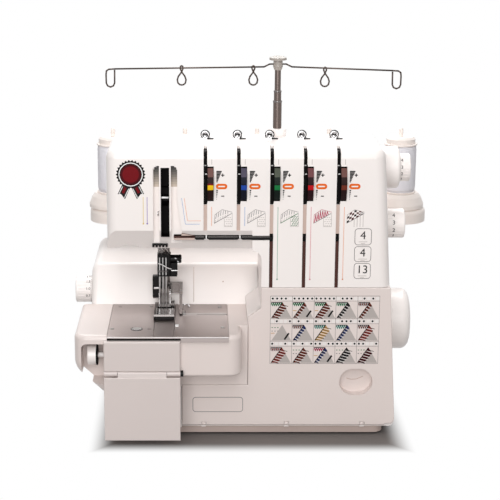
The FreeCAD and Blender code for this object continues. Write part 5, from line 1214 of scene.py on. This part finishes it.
@dataclass
class FrontSeams:
    """Small moulded details of the front: finger slot, housing seam and dot, caps of the door's lugs."""

    cup_floor: float = -85.5
    seam_x: float = -71.0
    lugs: ClassVar[Sequence[float]] = (-60.0, 30.0, 112.0)

    def build(self) -> None:
        """Builds the details on the door and on the rear housing."""
        door = Piece("finger_slot", "door", "dial_dark")
        door.path([(95.0, 63.4), (100.0, 62.0), (106.0, 62.4), (113.0, 65.6)], 0.8, BAND, self.cup_floor)
        door.done()
        housing = Piece("housing_seam", "machine", "shell")
        housing.rod((self.seam_x, -17.0, 129.0), (self.seam_x, 0.9, 164.8), 0.3, BAND)
        housing.rod((-38.0, -6.6, 150.05), (-38.0, -6.4, 149.95), 0.8, BAND)
        for x in self.lugs:
            # Lug caps in the darker casing copy: painted shade.
            housing.rod((x - 2.5, -95.0, 15.0), (x + 2.5, -95.0, 15.0), 2.2, SHADED_SHELL, 24)
        housing.done()


@dataclass
class RearDetails:
    """Screws and vents on the back."""

    wall: float = 133.0

    def build(self) -> None:
        """Builds the vents and the screws."""
        vents = Piece("rear_vents", "machine", "inlet")
        for index in range(7):
            x = -20.0 + 9.0 * index
            vents.block((x, self.wall - 0.3, 92.0), (x + 3.6, self.wall + 0.15, 128.0), DARK, 0.05)
        vents.done()
        screws = Piece("casing_screws", "machine", "steel")
        for x, z in ((-140.0, 40.0), (-140.0, 150.0), (120.0, 150.0), (40.0, 30.0)):
            screws.turned([(0.0, 0.0), (3.6, 0.0), (3.6, 0.8), (2.6, 1.4), (0.0, 1.4)], (x, self.wall - 0.2, z), Axis.Y,
                          STEEL, 28)
            screws.block((x - 2.4, self.wall + 1.0, z - 0.35), (x + 2.4, self.wall + 1.3, z + 0.35), DARK)
            screws.block((x - 0.35, self.wall + 1.0, z - 2.4), (x + 0.35, self.wall + 1.3, z + 2.4), DARK)
        for x, z in ((-150.0, 300.0), (120.0, 300.0), (-150.0, 224.0), (120.0, 190.0)):
            screws.turned([(0.0, 0.0), (3.2, 0.0), (3.2, 0.8), (2.4, 1.3), (0.0, 1.3)], (x, 2.8, z), Axis.Y, STEEL, 28)
            screws.block((x - 2.2, 3.9, z - 0.3), (x + 2.2, 4.2, z + 0.3), DARK)
        screws.done()


@dataclass
class Studio:
    """Camera, lamps, a floor with a painted shadow round the machine, and white surroundings."""

    camera_place: Point = (-0.064, -1.5236, 0.579)
    tilt: float = 14.5
    lens: float = 100.8
    shift: float = 0.1
    ambient: float = 0.36
    reach: float = 30.0
    footprint: ClassVar[Sequence[Flat]] = ((-0.009, 0.146), (0.0, 0.115))

    def build(self) -> None:
        """Builds the whole stage."""
        self.camera()
        self.world()
        self.floor()
        self.lamp("front_light", (-0.25, -2.4, 0.8), 1.4, 30.0)
        self.lamp("key_light", (-0.1, -0.85, 1.15), 0.9, 4.6)
        self.lamp("back_light", (0.0, 0.75, 1.3), 1.3, 20.0)
        bpy.context.scene.view_settings.view_transform = "Standard"

    def camera(self) -> None:
        """Sets the camera at the angle of the picture."""
        data = bpy.data.cameras.new("camera")
        data.lens = self.lens
        data.sensor_width = 36.0
        data.shift_x = self.shift
        data.clip_end = 100.0
        made = bpy.data.objects.new("camera", data)
        made.location = self.camera_place
        made.rotation_euler = (math.radians(90.0 - self.tilt), 0.0, 0.0)
        bpy.context.scene.collection.objects.link(made)
        bpy.context.scene.camera = made

    def seen(self, graph: Graph) -> Value:
        """One where a ray comes from the camera, a mirror or a clear piece."""
        rays = graph.node("ShaderNodeLightPath")
        camera, glossy = graph.out(rays, "Is Camera Ray"), graph.out(rays, "Is Glossy Ray")
        return graph.maths("MAXIMUM", graph.maths("MAXIMUM", camera, glossy), graph.out(rays, "Is Transmission Ray"))

    def world(self) -> None:
        """Soft white light from all round, and a white background."""
        world = bpy.data.worlds.new("surroundings")
        world.use_nodes = True
        bpy.context.scene.world = world
        graph = Graph(world.node_tree)
        strength = self.seen(graph) * (1.0 - self.ambient) + self.ambient
        sky = graph.node("ShaderNodeBackground", {}, {"Color": (1.0, 1.0, 1.0, 1.0), "Strength": strength})
        graph.node("ShaderNodeOutputWorld", {}, {"Surface": graph.out(sky)})

    def floor(self) -> None:
        """Floor painted dark round the machine's footprint as painted shadow, which also takes the real shadow there,
        and plain white further out.
        """
        mesh = bmesh.new()
        bmesh.ops.create_circle(mesh, cap_ends=True, segments=64, radius=self.reach)
        data = bpy.data.meshes.new("floor")
        mesh.to_mesh(data)
        mesh.free()
        material = bpy.data.materials.new("floor_white_painted_shadow")
        material.use_nodes = True
        graph = Graph(material.node_tree)
        along = graph.node("ShaderNodeSeparateXYZ", {}, {0: graph.place()})
        across, deep = (graph.maths("ABSOLUTE", graph.out(along, axis) - middle, 0.0) - half
                        for axis, (middle, half) in enumerate(self.footprint))
        ramp = graph.node("ShaderNodeMapRange", {"interpolation_type": "SMOOTHSTEP", "clamp": True},
                          {0: graph.maths("MAXIMUM", across, deep), 1: 0.0, 2: 0.03, 3: 0.0, 4: 1.0})
        # Painted shadow: dark floor colour near the footprint, fading to white within 30 mm.
        shadow_paint = graph.node("ShaderNodeBsdfDiffuse", {}, {"Color": (0.22, 0.2, 0.19, 1.0)})
        glow = graph.node("ShaderNodeEmission", {}, {"Color": (1.0, 1.0, 1.0, 1.0), "Strength": 1.0})
        both = graph.node("ShaderNodeMixShader", {}, {0: graph.out(ramp) * self.seen(graph), 1: graph.out(shadow_paint),
                                                      2: graph.out(glow)})
        graph.node("ShaderNodeOutputMaterial", {}, {"Surface": graph.out(both)})
        data.materials.append(material)
        made = bpy.data.objects.new("floor", data)
        bpy.context.scene.collection.objects.link(made)

    def lamp(self, name: str, place: Point, size: float, power: float) -> None:
        """Square soft lamp that looks at the machine."""
        data = bpy.data.lights.new(name, "AREA")
        data.size = size
        data.energy = power
        made = bpy.data.objects.new(name, data)
        made.location = place
        aim = Vector((0.0, 0.0, 0.18)) - Vector(place)
        made.rotation_euler = aim.to_track_quat("-Z", "Y").to_euler()
        bpy.context.scene.collection.objects.link(made)


def main() -> None:
    """Dresses the solids, builds every assembly in order, then the stage."""
    logging.basicConfig(level=logging.INFO, format="%(name)s: %(message)s")
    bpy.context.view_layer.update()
    Solids().dress()
    for assembly in (TensionBank(), CasingPrints(), StitchChart(), ThreadRail(), TakeUpChannel(), NeedleHead(),
                     PresserTrim(), ClothPlates(), SideFittings(), SpoolStand(), GuideWire(), MastTrim(),
                     FrontSeams(), RearDetails()):
        assembly.build()
        log.info("%s done", type(assembly).__name__)
    Studio().build()


if __name__ == "__main__":
    main()
